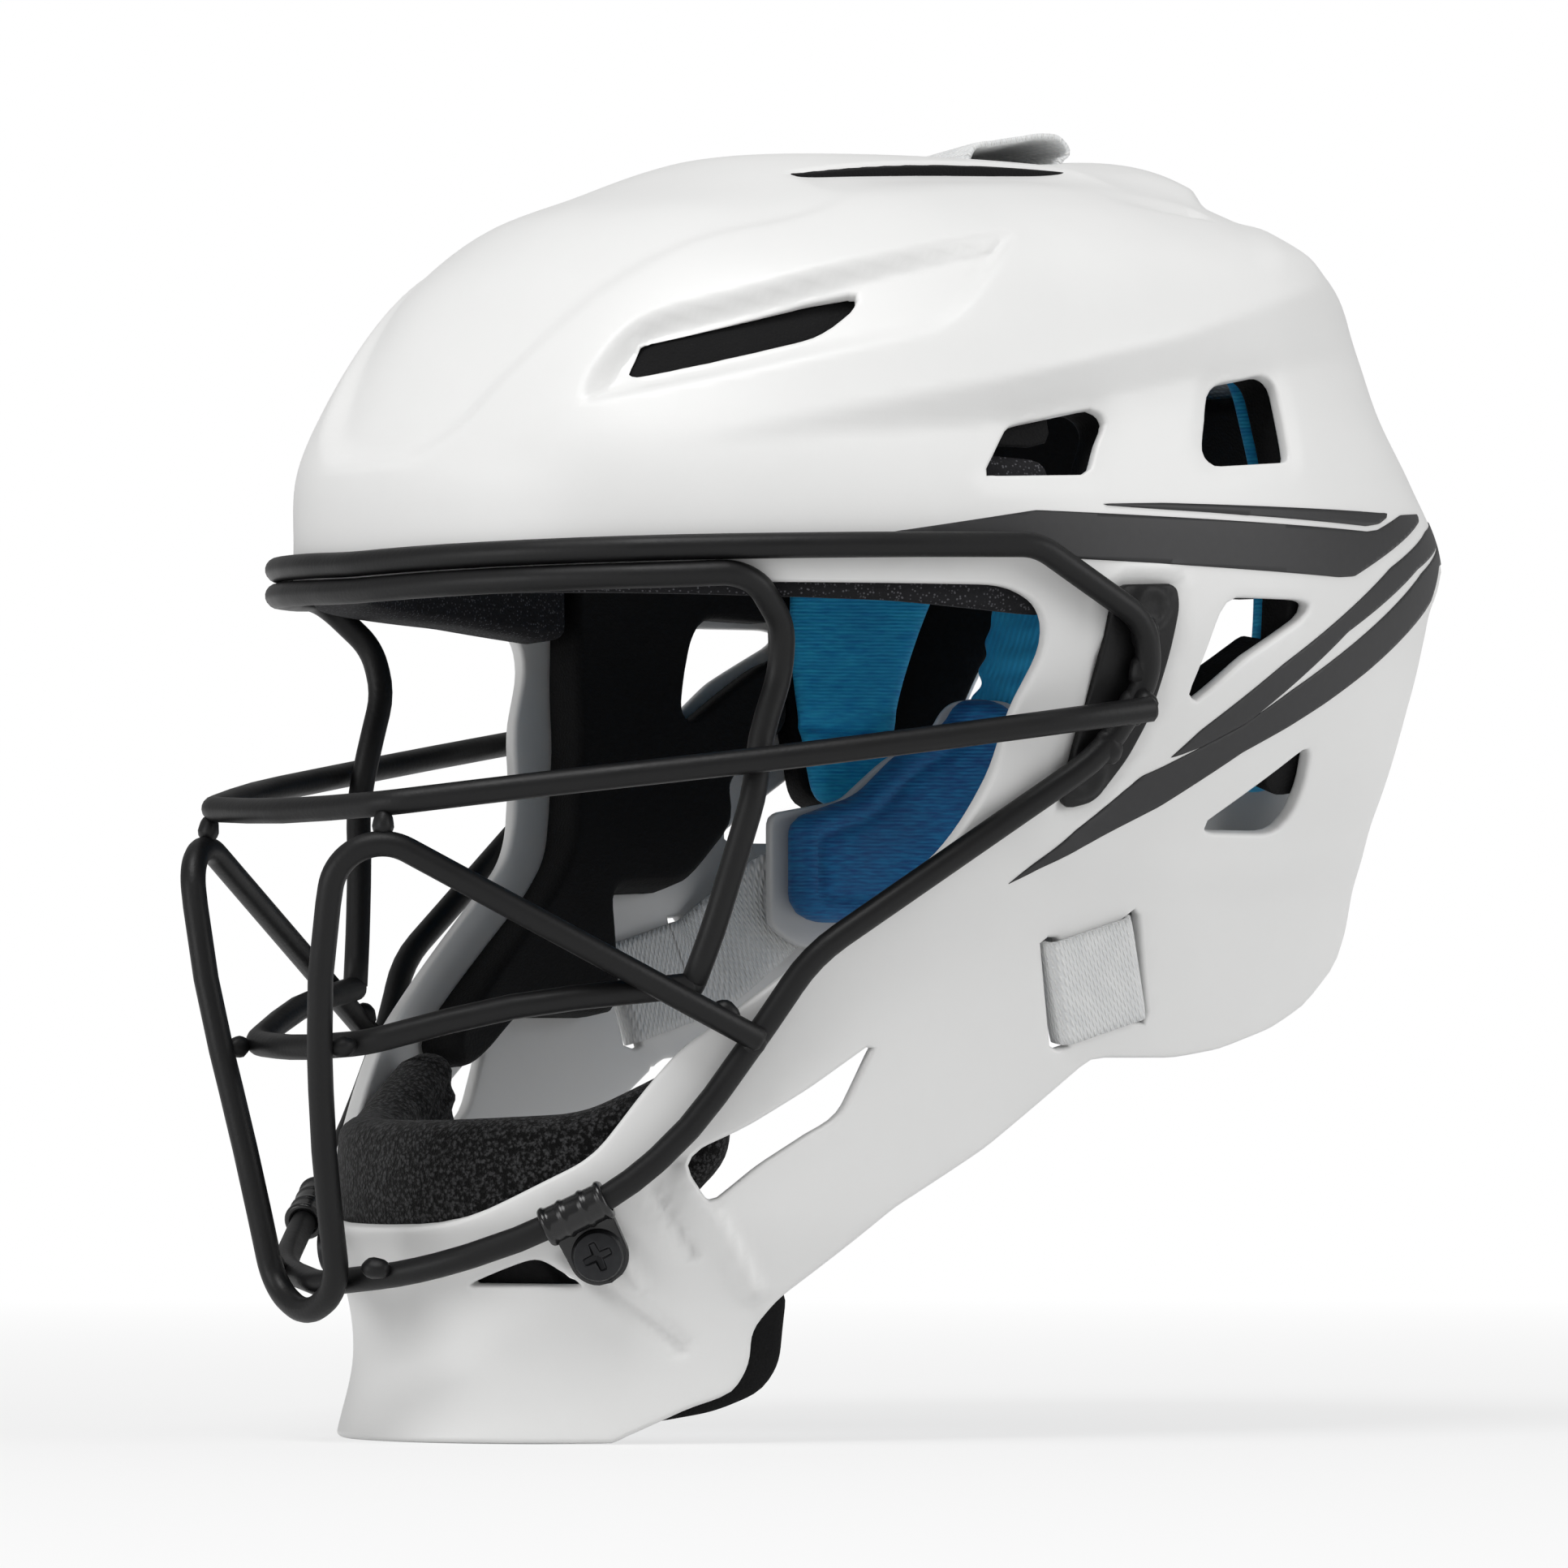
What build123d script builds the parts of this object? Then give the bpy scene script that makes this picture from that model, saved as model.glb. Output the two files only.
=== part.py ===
from build123d import *
import math
import os

os.makedirs("parts", exist_ok=True)

# A hockey-style catcher's helmet: moulded shell, welded wire cage, foam pads, and a back plate on
# elastic straps. The origin is the centre of the wearer's head, +Z is up, the face looks along -Y,
# and the wearer's left side is +X.

# Driving dimensions of the shell
shell_half_width = 115
shell_front = 144
shell_rear = 143
crown_height = 128
throat_drop = 178
shell_wall = 4
overrun = 12

# Cage, pads and straps
wire_diameter = 6
wire_bend = 14
bend_share = 0.45
sharp_turn = 30
bar_gap = 1.4
weld_gap = 0.25
loop_gap = 1.1
brow_bend = 11
side_plate_thickness = 2.4
side_plate_proud = 1.2
recess_depth = 1.6
recess_margin = 0.8
pad_seat_gap = 0.6
soft_clearance = 0.4
side_pad_thickness = 12
rear_pad_thickness = 14
forehead_pad_thickness = 13
crown_pad_thickness = 15
rear_upper_pad_thickness = 11
chin_pad_thickness = 15
throat_pad_thickness = 9
side_strap_width = 25
top_strap_width = 38
webbing_thickness = 1.6
hem_thickness = 2.2
strap_gap = 0.9
loop_rise = 6.6
slot_width = 5

# Back plate: it lies inside the rear of the shell, and swings about the top of its straps
plate_half_width = 83
plate_depth = 100
plate_centre = 20
plate_thickness = 3
plate_pad_thickness = 10
plate_pad_gap = 0.4
plate_roundness = 2.3
sleeve_thickness = 4
sleeve_width = 40
sleeve_standoff = 4.6

# Fasteners
bolt_diameter = 5
bolt_hole_clearance = 0.3
nut_flange_diameter = 13
nut_flange_thickness = 1.2
nut_barrel_diameter = 7.5
nut_relief = 0.8
nut_relief_depth = 10.5
washer_relief_depth = 11
screw_diameter = 4.5
screw_head_diameter = 12.6
screw_head_height = 2.6
screw_slot_width = 1.6
screw_slot_depth = 1.2
washer_thickness = 1
clip_wall = 1.5
clip_length = 14
clip_drop = 11.2
washer_diameter = 10
chin_wall_gap = 3.6
rivet_clearance = 0.25
rivet_diameter = 4
rivet_head_diameter = 8
rivet_head_height = 1.4
loop_width = 24
loop_height = 13
loop_bar = 2.6

# Outside of the shell, level by level, from the throat to the crown. Each row gives the height (a
# share of the throat drop below the origin, and of the crown height above it), the half width, the
# reach to the front and to the rear, the place of the widest point, and the roundness of the level.
form_shares = (
    (-1.00, 0.670, 0.983, 0.70, 0.00, 2.20),
    (-0.90, 0.691, 0.944, 0.70, 0.00, 2.20),
    (-0.815, 0.713, 0.951, 0.70, 0.00, 2.20),
    (-0.70, 0.748, 1.003, 0.72, 0.00, 2.20),
    (-0.45, 0.800, 0.979, 1.05, 0.03, 2.20),
    (-0.25, 0.857, 0.993, 1.05, 0.07, 2.20),
    (-0.11, 0.930, 0.997, 1.05, 0.07, 2.20),
    (0.06, 0.991, 1.000, 1.02, 0.07, 2.20),
    (0.26, 1.000, 1.000, 1.00, 0.07, 2.20),
    (0.39, 0.978, 1.000, 0.937, 0.07, 2.20),
    (0.515, 0.939, 0.958, 0.881, 0.07, 2.15),
    (0.655, 0.878, 0.875, 0.846, 0.052, 2.15),
    (0.765, 0.800, 0.792, 0.818, 0.052, 2.10),
    (0.86, 0.687, 0.674, 0.692, 0.052, 2.10),
    (0.922, 0.557, 0.535, 0.601, 0.052, 2.05),
    (0.969, 0.400, 0.417, 0.545, 0.043, 2.00),
    (0.992, 0.261, 0.313, 0.420, 0.035, 2.00),
    (1.00, 0.113, 0.132, 0.185, 0.035, 2.00),
)
section_points = 20


def height_of(share, inset=0):
    """Height of a share: of the crown height above the origin, of the throat drop below it."""
    return share * (crown_height - inset) if share > 0 else share * throat_drop


def share_of(height, inset=0):
    """Share of a height, the other way round."""
    return height / (crown_height - inset) if height > 0 else height / throat_drop


def side(y_share, z_share):
    """Point of a side view, in shares of the front or rear reach and of the height."""
    reach = shell_rear if y_share > 0 else shell_front
    return (y_share * reach, height_of(z_share))


def blended(share, column):
    """One column of form_shares at any height share, on a smooth cubic through the rows."""
    rows = form_shares
    share = min(max(share, rows[0][0]), rows[-1][0])
    below = max(i for i in range(len(rows) - 1) if rows[i][0] <= share)

    def slope(i):
        first, last = max(i - 1, 0), min(i + 1, len(rows) - 1)
        return (rows[last][column] - rows[first][column]) / (rows[last][0] - rows[first][0])

    step = rows[below + 1][0] - rows[below][0]
    t = (share - rows[below][0]) / step
    low, high = rows[below][column], rows[below + 1][column]
    return (
        low * (1 + 2 * t) * (1 - t) ** 2
        + high * (3 - 2 * t) * t**2
        + step * (slope(below) * t * (1 - t) ** 2 - slope(below + 1) * (1 - t) * t**2)
    )


def level(height, inset=0):
    """Half width, front reach, rear reach, centre and roundness of the form at a height."""
    share = share_of(height, inset)
    spans = (shell_half_width, shell_front, shell_rear)
    if share > 0:
        reaches = [blended(share, i + 1) * (span - inset) for i, span in enumerate(spans)]
    else:
        reaches = [blended(share, i + 1) * span - inset for i, span in enumerate(spans)]
    return (*reaches, blended(share, 4) * shell_half_width, blended(share, 5))


def form_x(y, height, outset=0):
    """Half width of the form at a place y along the head, at a height, moved out by outset."""
    half_width, front, rear, centre, roundness = level(height, -outset)
    reach = front + centre if y < centre else rear - centre
    return half_width * (1 - (abs(y - centre) / reach) ** roundness) ** (1 / roundness)


def form_point(y, height, outset=0):
    """Point on the left side of the form, moved out by outset."""
    return Vector(form_x(y, height, outset), y, height)


def form_front(x, height, outset=0):
    """Point on the front of the form at x, moved out by outset."""
    half_width, front, _, centre, roundness = level(height, -outset)
    across = (1 - (abs(x) / half_width) ** roundness) ** (1 / roundness)
    return Vector(x, centre - (front + centre) * across, height)


def form_normal(y, height):
    """Outward direction of the left side of the form."""
    step = shell_wall
    along = form_point(y + step, height) - form_point(y - step, height)
    up = form_point(y, height + step) - form_point(y, height - step)
    return along.cross(up).normalized()


def egg(half_width, front, rear, centre, roundness):
    """Points of one level: a superellipse with its own reach to the front and to the rear."""
    points = []
    for k in range(section_points):
        angle = math.radians(90 + 360 * k / section_points)
        cosine, sine = math.cos(angle), math.sin(angle)
        x = math.copysign(abs(cosine) ** (2 / roundness), cosine) * half_width
        reach = front + centre if sine < 0 else rear - centre
        points.append((x, centre + math.copysign(abs(sine) ** (2 / roundness), sine) * reach))
    return points


def flat_egg(points, height):
    """Closed face through the points at a height."""
    with BuildSketch(Plane.XY.offset(height)) as section:
        with BuildLine():
            Spline(*points, periodic=True)
        make_face()
    return section.sketch


def head_form(inset):
    """Solid inside the shell's outside surface drawn in by inset, and open-ended at the throat."""
    with BuildPart() as form:
        foot = -throat_drop - (overrun if inset else 0)
        sections = [flat_egg(egg(*level(-throat_drop, inset)), foot)]
        for row in form_shares[0 if inset else 1 :]:
            height = height_of(row[0], inset)
            sections.append(flat_egg(egg(*level(height, inset)), height))
        loft(sections=sections)
    return form.part


def bend_radii(points, largest=None):
    """Radius of each bend: as wide as its straight runs allow, or the largest that is asked for."""
    radii = []
    for before, at, after in zip(points, points[1:], points[2:]):
        run = min((at - before).length, (after - at).length)
        turn = math.radians((at - before).get_angle(after - at))
        widest = bend_share * run / math.tan(turn / 2)
        if largest is None:
            radii.append(min(widest, wire_bend) if turn > math.radians(sharp_turn) else widest)
        else:
            radii.append(min(widest, largest))
    return radii


def prism(plane, outline, corner, amount, mode):
    """An outline on a plane, carried along the plane's normal."""
    ring = [Vector(*point) for point in outline]
    radii = bend_radii([ring[-1]] + ring + [ring[0]], corner)
    with BuildSketch(plane) as profile:
        with BuildLine():
            FilletPolyline(*ring, radius=radii, close=True)
        make_face()
    extrude(profile.sketch, amount=amount, mode=mode)


def side_prism(outline, corner, mode):
    """A side-view outline carried across the whole width of the helmet."""
    reach = shell_half_width + overrun
    prism(Plane.YZ.offset(-reach), outline, corner, reach * 2, mode)


def mirrored(name, left):
    """The right-hand copy of a left-hand piece, and both of them written out."""
    with BuildPart() as right:
        mirror(left.part, about=Plane.YZ)
    save(name + "_left", left)
    save(name + "_right", right)


def save(name, piece):
    """Label a finished piece and write it."""
    piece.part.label = name
    export_step(piece.part, "parts/" + name + ".step")


# Side-view outlines of the shell, in shares of the reach and of the height
opening_shares = (
    (-1.20, 0.18), (-0.20, 0.158), (-0.20, 0.03), (-0.255, -0.13), (-0.325, -0.24), (-0.69, -0.48),
    (-0.82, -0.63), (-0.88, -0.665), (-0.985, -0.722), (-1.20, -0.722),
)
rear_edge_shares = (
    (1.30, 0.24), (0.86, 0.235), (0.735, 0.14), (0.685, 0.04), (0.645, -0.06), (0.61, -0.15),
    (0.57, -0.25), (0.56, -0.34), (0.53, -0.385), (0.46, -0.43), (0.36, -0.475), (0.20, -0.50),
    (-0.01, -0.50), (-0.525, -0.815), (-0.565, -0.855), (-0.57, -0.90), (-0.60, -0.945),
    (-0.68, -0.978), (-0.76, -1.00), (-0.76, -1.10), (1.30, -1.10),
)
front_window_shares = (
    (-0.31, 0.36), (-0.255, 0.45), (-0.085, 0.492), (-0.062, 0.475), (-0.075, 0.42), (-0.105, 0.367),
)
rear_window_shares = (
    (0.135, 0.41), (0.155, 0.53), (0.20, 0.55), (0.31, 0.57), (0.33, 0.55), (0.335, 0.43),
    (0.32, 0.405), (0.15, 0.395),
)
ear_window_shares = (
    (0.165, 0.148), (0.335, 0.15), (0.345, 0.135), (0.22, 0.05), (0.105, -0.034), (0.09, -0.02),
    (0.14, 0.11),
)
nape_window_shares = (
    (0.18, -0.202), (0.178, -0.188), (0.368, -0.088), (0.387, -0.09), (0.385, -0.14), (0.362, -0.182),
    (0.335, -0.203),
)
jaw_window_shares = (
    (-0.403, -0.478), (-0.45, -0.565), (-0.50, -0.597), (-0.583, -0.642), (-0.65, -0.69),
    (-0.687, -0.645), (-0.672, -0.615), (-0.604, -0.588), (-0.507, -0.54),
)
scoop_shares = (
    (-0.84, 0.50), (-0.82, 0.56), (-0.765, 0.625), (-0.71, 0.66), (-0.49, 0.735), (-0.19, 0.792),
    (-0.155, 0.79), (-0.20, 0.742), (-0.30, 0.64), (-0.35, 0.61), (-0.54, 0.57), (-0.82, 0.495),
)
brow_vent_shares = (
    (-0.785, 0.547), (-0.75, 0.61), (-0.515, 0.68), (-0.435, 0.696), (-0.46, 0.662), (-0.51, 0.62),
    (-0.54, 0.607),
)
window_corner = 1.6
opening_corner = 7
edge_corner = 2.4
slot_corner = 1

# Side strap: a bridge between two slots, over which the webbing passes
front_slot_shares = ((-0.105, -0.342), (-0.066, -0.488))
rear_slot_shares = ((0.048, -0.305), (0.091, -0.452))

# Chin vents, in shares of the half width and of the throat drop
chin_vent_shares = ((0.225, -0.80), (0.36, -0.762), (0.388, -0.765), (0.43, -0.80))

# Recess and plate that carry the ends of the cage on each side
side_plate_shares = (
    (-0.075, 0.165), (0.04, 0.17), (0.048, 0.13), (0.035, 0.045), (0.012, -0.055), (-0.015, -0.105),
    (-0.065, -0.165), (-0.118, -0.176), (-0.132, -0.16), (-0.118, -0.06), (-0.09, 0.095),
)
plate_bolt_shares = ((-0.012, 0.125), (-0.095, -0.13))

# Crown: two slots across the middle, with the top strap over the bridge between them
crown_slot_shares = (0.125, 0.285)


# Side-view outlines of the pads
side_pad_shares = (
    (-0.14, 0.625), (-0.14, 0.11), (-0.165, -0.068), (-0.195, -0.152), (-0.23, -0.225),
    (-0.29, -0.28), (-0.585, -0.475), (-0.56, -0.52), (-0.50, -0.505), (-0.39, -0.445),
    (-0.15, -0.445), (-0.145, -0.275), (0.02, -0.27), (0.15, -0.19), (0.155, -0.13), (0.305, -0.045),
    (0.305, 0.625),
)
rear_pad_shares = (
    (0.315, 0.62), (0.315, -0.15), (0.405, -0.15), (0.49, -0.10), (0.485, -0.035), (0.56, 0.19),
    (0.60, 0.31), (0.585, 0.47), (0.49, 0.62),
)
forehead_shares = (
    (-1.10, 0.175), (-0.42, 0.148), (-0.17, 0.122), (-0.17, 0.39), (-0.42, 0.41), (-1.10, 0.42),
)
chin_pad_shares = (
    (-1.10, -0.605), (-0.82, -0.595), (-0.69, -0.54), (-0.61, -0.495), (-0.60, -0.515),
    (-0.60, -0.63), (-0.69, -0.72), (-1.10, -0.84),
)
throat_pad_shares = (
    (-1.10, -0.88), (-0.66, -0.765), (-0.495, -0.80), (-0.50, -0.955), (-0.555, -0.975),
    (-1.10, -0.99),
)
crown_pad_shares = (
    (-0.40, -0.40), (0.40, -0.40), (0.48, -0.10), (0.45, 0.36), (-0.45, 0.36), (-0.48, -0.10),
)
rear_upper_shares = ((-0.20, 0.21), (0.20, 0.21), (0.27, 0.60), (-0.27, 0.60))
top_strap_run_shares = (0.06, 0.84)
top_strap_end_share = 0.35
plate_span_shares = (-0.36, 0.03)
plate_shares = (
    (0.19, -0.158), (0.335, -0.138), (0.415, -0.082), (0.50, -0.040), (0.52, -0.008),
    (0.545, 0.008), (0.625, 0.006), (0.665, -0.025), (0.72, -0.13), (0.76, -0.165), (0.92, -0.165),
    (0.92, -0.345), (0.25, -0.345), (0.19, -0.315),
)
plate_pad_shares = (
    (0.21, -0.165), (0.345, -0.130), (0.42, -0.072), (0.505, -0.030), (0.52, -0.004),
    (0.545, 0.010), (0.60, 0.004), (0.64, -0.03), (0.69, -0.135), (0.73, -0.17), (0.92, -0.17),
    (0.92, -0.31), (0.25, -0.31), (0.21, -0.29),
)
strap_anchor_share = (0.245, -0.275)
loop_shares = (0.35, -0.215)
sleeve_top_share = (0.80, 0.36)
sleeve_foot_share = (0.645, -0.07)
pad_corner = 5
pad_draft = 12
window_margin = 2.5


def slot_outline(ends):
    """Parallelogram slot between two side-view points, of the slot's own width."""
    (y1, z1), (y2, z2) = side(*ends[0]), side(*ends[1])
    half = slot_width / 2
    return [(y1 - half, z1), (y1 + half, z1), (y2 + half, z2), (y2 - half, z2)]


def outline(shares):
    """Side-view outline in millimetres."""
    return [side(*share) for share in shares]


def rear_view(shares):
    """Rear-view outline: shares of the half width and of the height."""
    return [(x * shell_half_width, height_of(z)) for x, z in shares]


def grown(shares, margin):
    """Side-view outline whose points move out from their middle by about a margin."""
    points = outline(shares)
    middle_y = sum(y for y, _ in points) / len(points)
    middle_z = sum(z for _, z in points) / len(points)
    moved = []
    for y, z in points:
        length = math.hypot(y - middle_y, z - middle_z)
        moved.append((y + (y - middle_y) / length * margin, z + (z - middle_z) / length * margin))
    return moved


def bolt_planes():
    """Seats of the left side plate's bolts on the form, square to the side."""
    places = []
    for share in plate_bolt_shares:
        y, z = side(*share)
        places.append(Plane(origin=form_point(y, z), x_dir=(0, 1, 0), z_dir=form_normal(y, z)))
    return places


forms = {}


def form_at(inset):
    """The head form at an inset, made once."""
    if inset not in forms:
        forms[inset] = head_form(inset)
    return forms[inset]


pad_seat = shell_wall + pad_seat_gap
strap_floor = pad_seat + webbing_thickness
strap_pad_seat = strap_floor + soft_clearance
outer_form = form_at(0)
wall_form = form_at(shell_wall)



def handed(plane, hand):
    """The plane itself, or its mirror image on the right side of the helmet."""
    if hand > 0:
        return plane
    flip = [Vector(-v.X, v.Y, v.Z) for v in (plane.origin, plane.x_dir, plane.z_dir)]
    return Plane(origin=flip[0], x_dir=flip[1], z_dir=flip[2])


# Cage wires. Points on the near side of a bar, in shares, or carried on the form by an outset.
wire_radius = wire_diameter / 2
bar_outset = wire_radius + bar_gap
loop_outset = side_plate_proud + wire_radius + loop_gap
weld_pitch = wire_diameter + weld_gap
brow_bar_shares = (0.207, 0.229)
brow_bar_steps = 6
side_loop_shares = ((-0.245, 0.232), (-0.042, 0.098), (-0.022, 0.0), (-0.085, -0.10), (-0.54, -0.367))
lower_bar_shares = (
    (0.698, -0.595, -0.452), (0.628, -0.706, -0.592), (0.556, -0.80, -0.672), (0.415, -0.925, -0.737),
    (0.25, -1.035, -0.778), (0.0, -1.09, -0.795),
)
eye_upright_shares = (
    (0.80, -0.683, 0.178), (0.76, -0.60, 0.085), (0.735, -0.59, 0.00), (0.725, -0.625, -0.085),
    (0.735, -0.640, -0.155), (0.70, -0.655, -0.23), (0.658, -0.68, -0.335), (0.628, -0.70, -0.40),
)
nose_bar_shares = (
    (1.082, -0.055, -0.045), (0.955, -0.37, -0.082), (0.785, -0.66, -0.115), (0.56, -0.94, -0.145),
    (0.33, -1.135, -0.17), (0.0, -1.168, -0.178),
)
mouth_bar_shares = (
    (0.628, -0.701, -0.405), (0.40, -0.93, -0.43), (0.21, -1.11, -0.48), (0.0, -1.137, -0.487),
)
centre_bar_shares = (
    (0.675, -0.665, -0.452), (0.295, -1.20, -0.185), (0.215, -1.205, -0.395), (0.145, -1.158, -0.62),
    (0.12, -1.115, -0.80), (0.0, -1.115, -0.838),
)


def cage_point(x_share, y_share, z_share):
    """Point of a bar that stands clear of the shell."""
    y, z = side(y_share, z_share)
    return Vector(x_share * shell_half_width, y, z)


def on_form(shares, outset):
    """Points of a bar that follows the shell's outside at an outset."""
    return [form_point(*side(*share), outset) for share in shares]


def bar_path(half, joined=True):
    """Whole path of a bar from its left half, whose last point is on the middle when joined."""
    middle = half[:-1] if joined else half
    points = half + [Vector(-p.X, p.Y, p.Z) for p in reversed(middle)]
    return FilletPolyline(*points, radius=bend_radii(points))


def wire(half, joined=True):
    """Round wire bent along a path."""
    with BuildPart() as bar:
        with BuildLine():
            path = bar_path(half, joined)
        with BuildSketch(Plane(origin=path @ 0, z_dir=path % 0)):
            Circle(wire_radius)
        sweep(path=path)
    return bar


# Brow bar, side loops and lower rim of the cage: one closed wire around the face
brow_half = []
for k in range(brow_bar_steps + 1):
    reach = (shell_half_width + bar_outset) * math.sin(math.radians(brow_bend * k))
    rise = brow_bar_shares[0] + (brow_bar_shares[1] - brow_bar_shares[0]) * k / brow_bar_steps
    brow_half.append(form_front(reach, height_of(rise), bar_outset))
loop_half = on_form(side_loop_shares, loop_outset)
lower_half = [cage_point(*share) for share in lower_bar_shares]


def closed_wire(points):
    """Closed path with its start in the middle of its last run."""
    start = (points[0] + points[-1]) * 0.5
    ring = [start] + points
    return FilletPolyline(*ring, radius=[0] + bend_radii(ring + [start]), close=True)


rim_left = brow_half + loop_half + lower_half
rim_right = [Vector(-p.X, p.Y, p.Z) for p in reversed(rim_left[1:-1])]
with BuildPart() as perimeter_bar:
    with BuildLine():
        rim_path = closed_wire(rim_left + rim_right)
    with BuildSketch(Plane(origin=rim_path @ 0, z_dir=rim_path % 0)):
        Circle(wire_radius)
    sweep(path=rim_path)
save("perimeter_bar", perimeter_bar)

# Eye-port bar: under the brow bar, then down both sides of the eyes
eye_brow = [Vector(p.X, p.Y, p.Z - weld_pitch) for p in brow_half[:5]]
eye_uprights = [cage_point(*share) for share in eye_upright_shares]
eye_port_bar = wire(list(reversed(eye_uprights)) + list(reversed(eye_brow)))
save("eye_port_bar", eye_port_bar)

nose_bar = wire([cage_point(*share) for share in nose_bar_shares])
save("nose_bar", nose_bar)
mouth_bar = wire([cage_point(*share) for share in mouth_bar_shares])
save("mouth_bar", mouth_bar)
centre_bar = wire([cage_point(*share) for share in centre_bar_shares])
save("centre_bar", centre_bar)

# Side plate: pressed steel plate in a shallow recess of the shell, welded to the cage's loop
plate_outside = form_at(-side_plate_proud)
plate_inside = form_at(side_plate_thickness - side_plate_proud)
recess_floor = form_at(side_plate_thickness - side_plate_proud + weld_gap)
with BuildPart() as side_plate:
    add(plate_outside)
    side_prism(outline(side_plate_shares), edge_corner, Mode.INTERSECT)
    add(plate_inside, mode=Mode.SUBTRACT)
    split(bisect_by=Plane.YZ, keep=Keep.TOP)
mirrored("cage_side_plate", side_plate)

# Bolts welded to the side plates, and the flanged nuts inside the shell that hold them
bolt_length = shell_wall + nut_flange_thickness + side_plate_proud
with BuildPart() as plate_bolts:
    for seat in bolt_planes():
        with BuildSketch(seat.offset(-side_plate_thickness)):
            Circle(bolt_diameter / 2)
        extrude(amount=-bolt_length)
    mirror(plate_bolts.part, about=Plane.YZ)
save("plate_bolts", plate_bolts)

nut_seat = -shell_wall - nut_relief
with BuildPart() as plate_nuts:
    for seat in bolt_planes():
        with BuildSketch(seat.offset(nut_seat)):
            Circle(nut_flange_diameter / 2)
            Circle(bolt_diameter / 2 + weld_gap, mode=Mode.SUBTRACT)
        extrude(amount=-nut_flange_thickness)
        with BuildSketch(seat.offset(nut_seat - nut_flange_thickness)):
            Circle(nut_barrel_diameter / 2)
            Circle(bolt_diameter / 2 + weld_gap, mode=Mode.SUBTRACT)
        extrude(amount=-nut_flange_thickness)
    mirror(plate_nuts.part, about=Plane.YZ)
save("plate_nuts", plate_nuts)

# Chin clips: a plastic sleeve around the lower bar, with a tab that is screwed to the chin
clip_start, clip_end = lower_half[2], lower_half[3]
clip_axis = (clip_end - clip_start).normalized()
clip_middle = clip_start + clip_axis * (clip_length * 0.85)
clip_out = form_normal(clip_middle.Y, clip_middle.Z)
clip_plane = Plane(origin=clip_middle, x_dir=clip_axis, z_dir=clip_out - clip_axis * clip_out.dot(clip_axis))
clip_side = 1 if clip_plane.y_dir.Z < 0 else -1
tab_floor = -(wire_radius + clip_wall)
tab_thickness = clip_wall
screw_seat = Plane(
    origin=clip_plane.from_local_coords((0, clip_side * clip_drop, tab_floor + tab_thickness)),
    x_dir=clip_plane.x_dir,
    z_dir=clip_plane.z_dir,
)
screw_axis = Axis(screw_seat.origin, screw_seat.z_dir)
sleeve_radius = wire_radius + clip_wall
with BuildPart() as chin_clip:
    with BuildSketch(clip_plane.offset(tab_floor)):
        with Locations((0, clip_side * clip_drop)):
            Circle(screw_head_diameter / 2 + clip_wall / 2)
        with Locations((0, clip_side * clip_drop / 2)):
            Rectangle(clip_length, clip_drop)
    extrude(amount=tab_thickness)
    with BuildSketch(Plane(origin=clip_middle - clip_axis * (clip_length / 2), z_dir=clip_axis)):
        Circle(sleeve_radius)
    extrude(amount=clip_length)
    with BuildSketch(Plane(origin=clip_middle - clip_axis * clip_length, z_dir=clip_axis)):
        Circle(wire_radius + weld_gap)
    extrude(amount=clip_length * 2, mode=Mode.SUBTRACT)
    with BuildSketch(screw_seat):
        Circle(screw_diameter / 2 + bolt_hole_clearance)
    extrude(amount=-tab_thickness, mode=Mode.SUBTRACT)
mirrored("chin_clip", chin_clip)

chin_wall_top = tab_thickness + chin_wall_gap
screw_length = chin_wall_top + shell_wall + washer_thickness + nut_flange_thickness * 2
with BuildPart() as clip_screws:
    with BuildSketch(screw_seat):
        Circle(screw_head_diameter / 2)
    extrude(amount=screw_head_height)
    head_rim = clip_screws.edges().filter_by(GeomType.CIRCLE).sort_by(screw_axis)[-1]
    fillet(head_rim, screw_head_height / 2)
    with BuildSketch(screw_seat):
        Circle(screw_diameter / 2)
    extrude(amount=-screw_length)
    with BuildSketch(screw_seat.offset(screw_head_height)):
        Rectangle(screw_head_diameter / 2, screw_slot_width)
        Rectangle(screw_slot_width, screw_head_diameter / 2)
    extrude(amount=-screw_slot_depth, mode=Mode.SUBTRACT)
    mirror(clip_screws.part, about=Plane.YZ)
save("clip_screws", clip_screws)

washer_seat = screw_seat.offset(-(chin_wall_top + shell_wall))
with BuildPart() as clip_washers:
    with BuildSketch(washer_seat):
        Circle(washer_diameter / 2)
        Circle(screw_diameter / 2 + weld_gap, mode=Mode.SUBTRACT)
    extrude(amount=-washer_thickness)
    mirror(clip_washers.part, about=Plane.YZ)
save("clip_washers", clip_washers)

with BuildPart() as clip_nuts:
    with BuildSketch(washer_seat.offset(-washer_thickness)):
        RegularPolygon(nut_barrel_diameter / 2, 6)
        Circle(screw_diameter / 2 + weld_gap, mode=Mode.SUBTRACT)
    extrude(amount=-nut_flange_thickness * 2)
    mirror(clip_nuts.part, about=Plane.YZ)
save("clip_nuts", clip_nuts)

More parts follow.
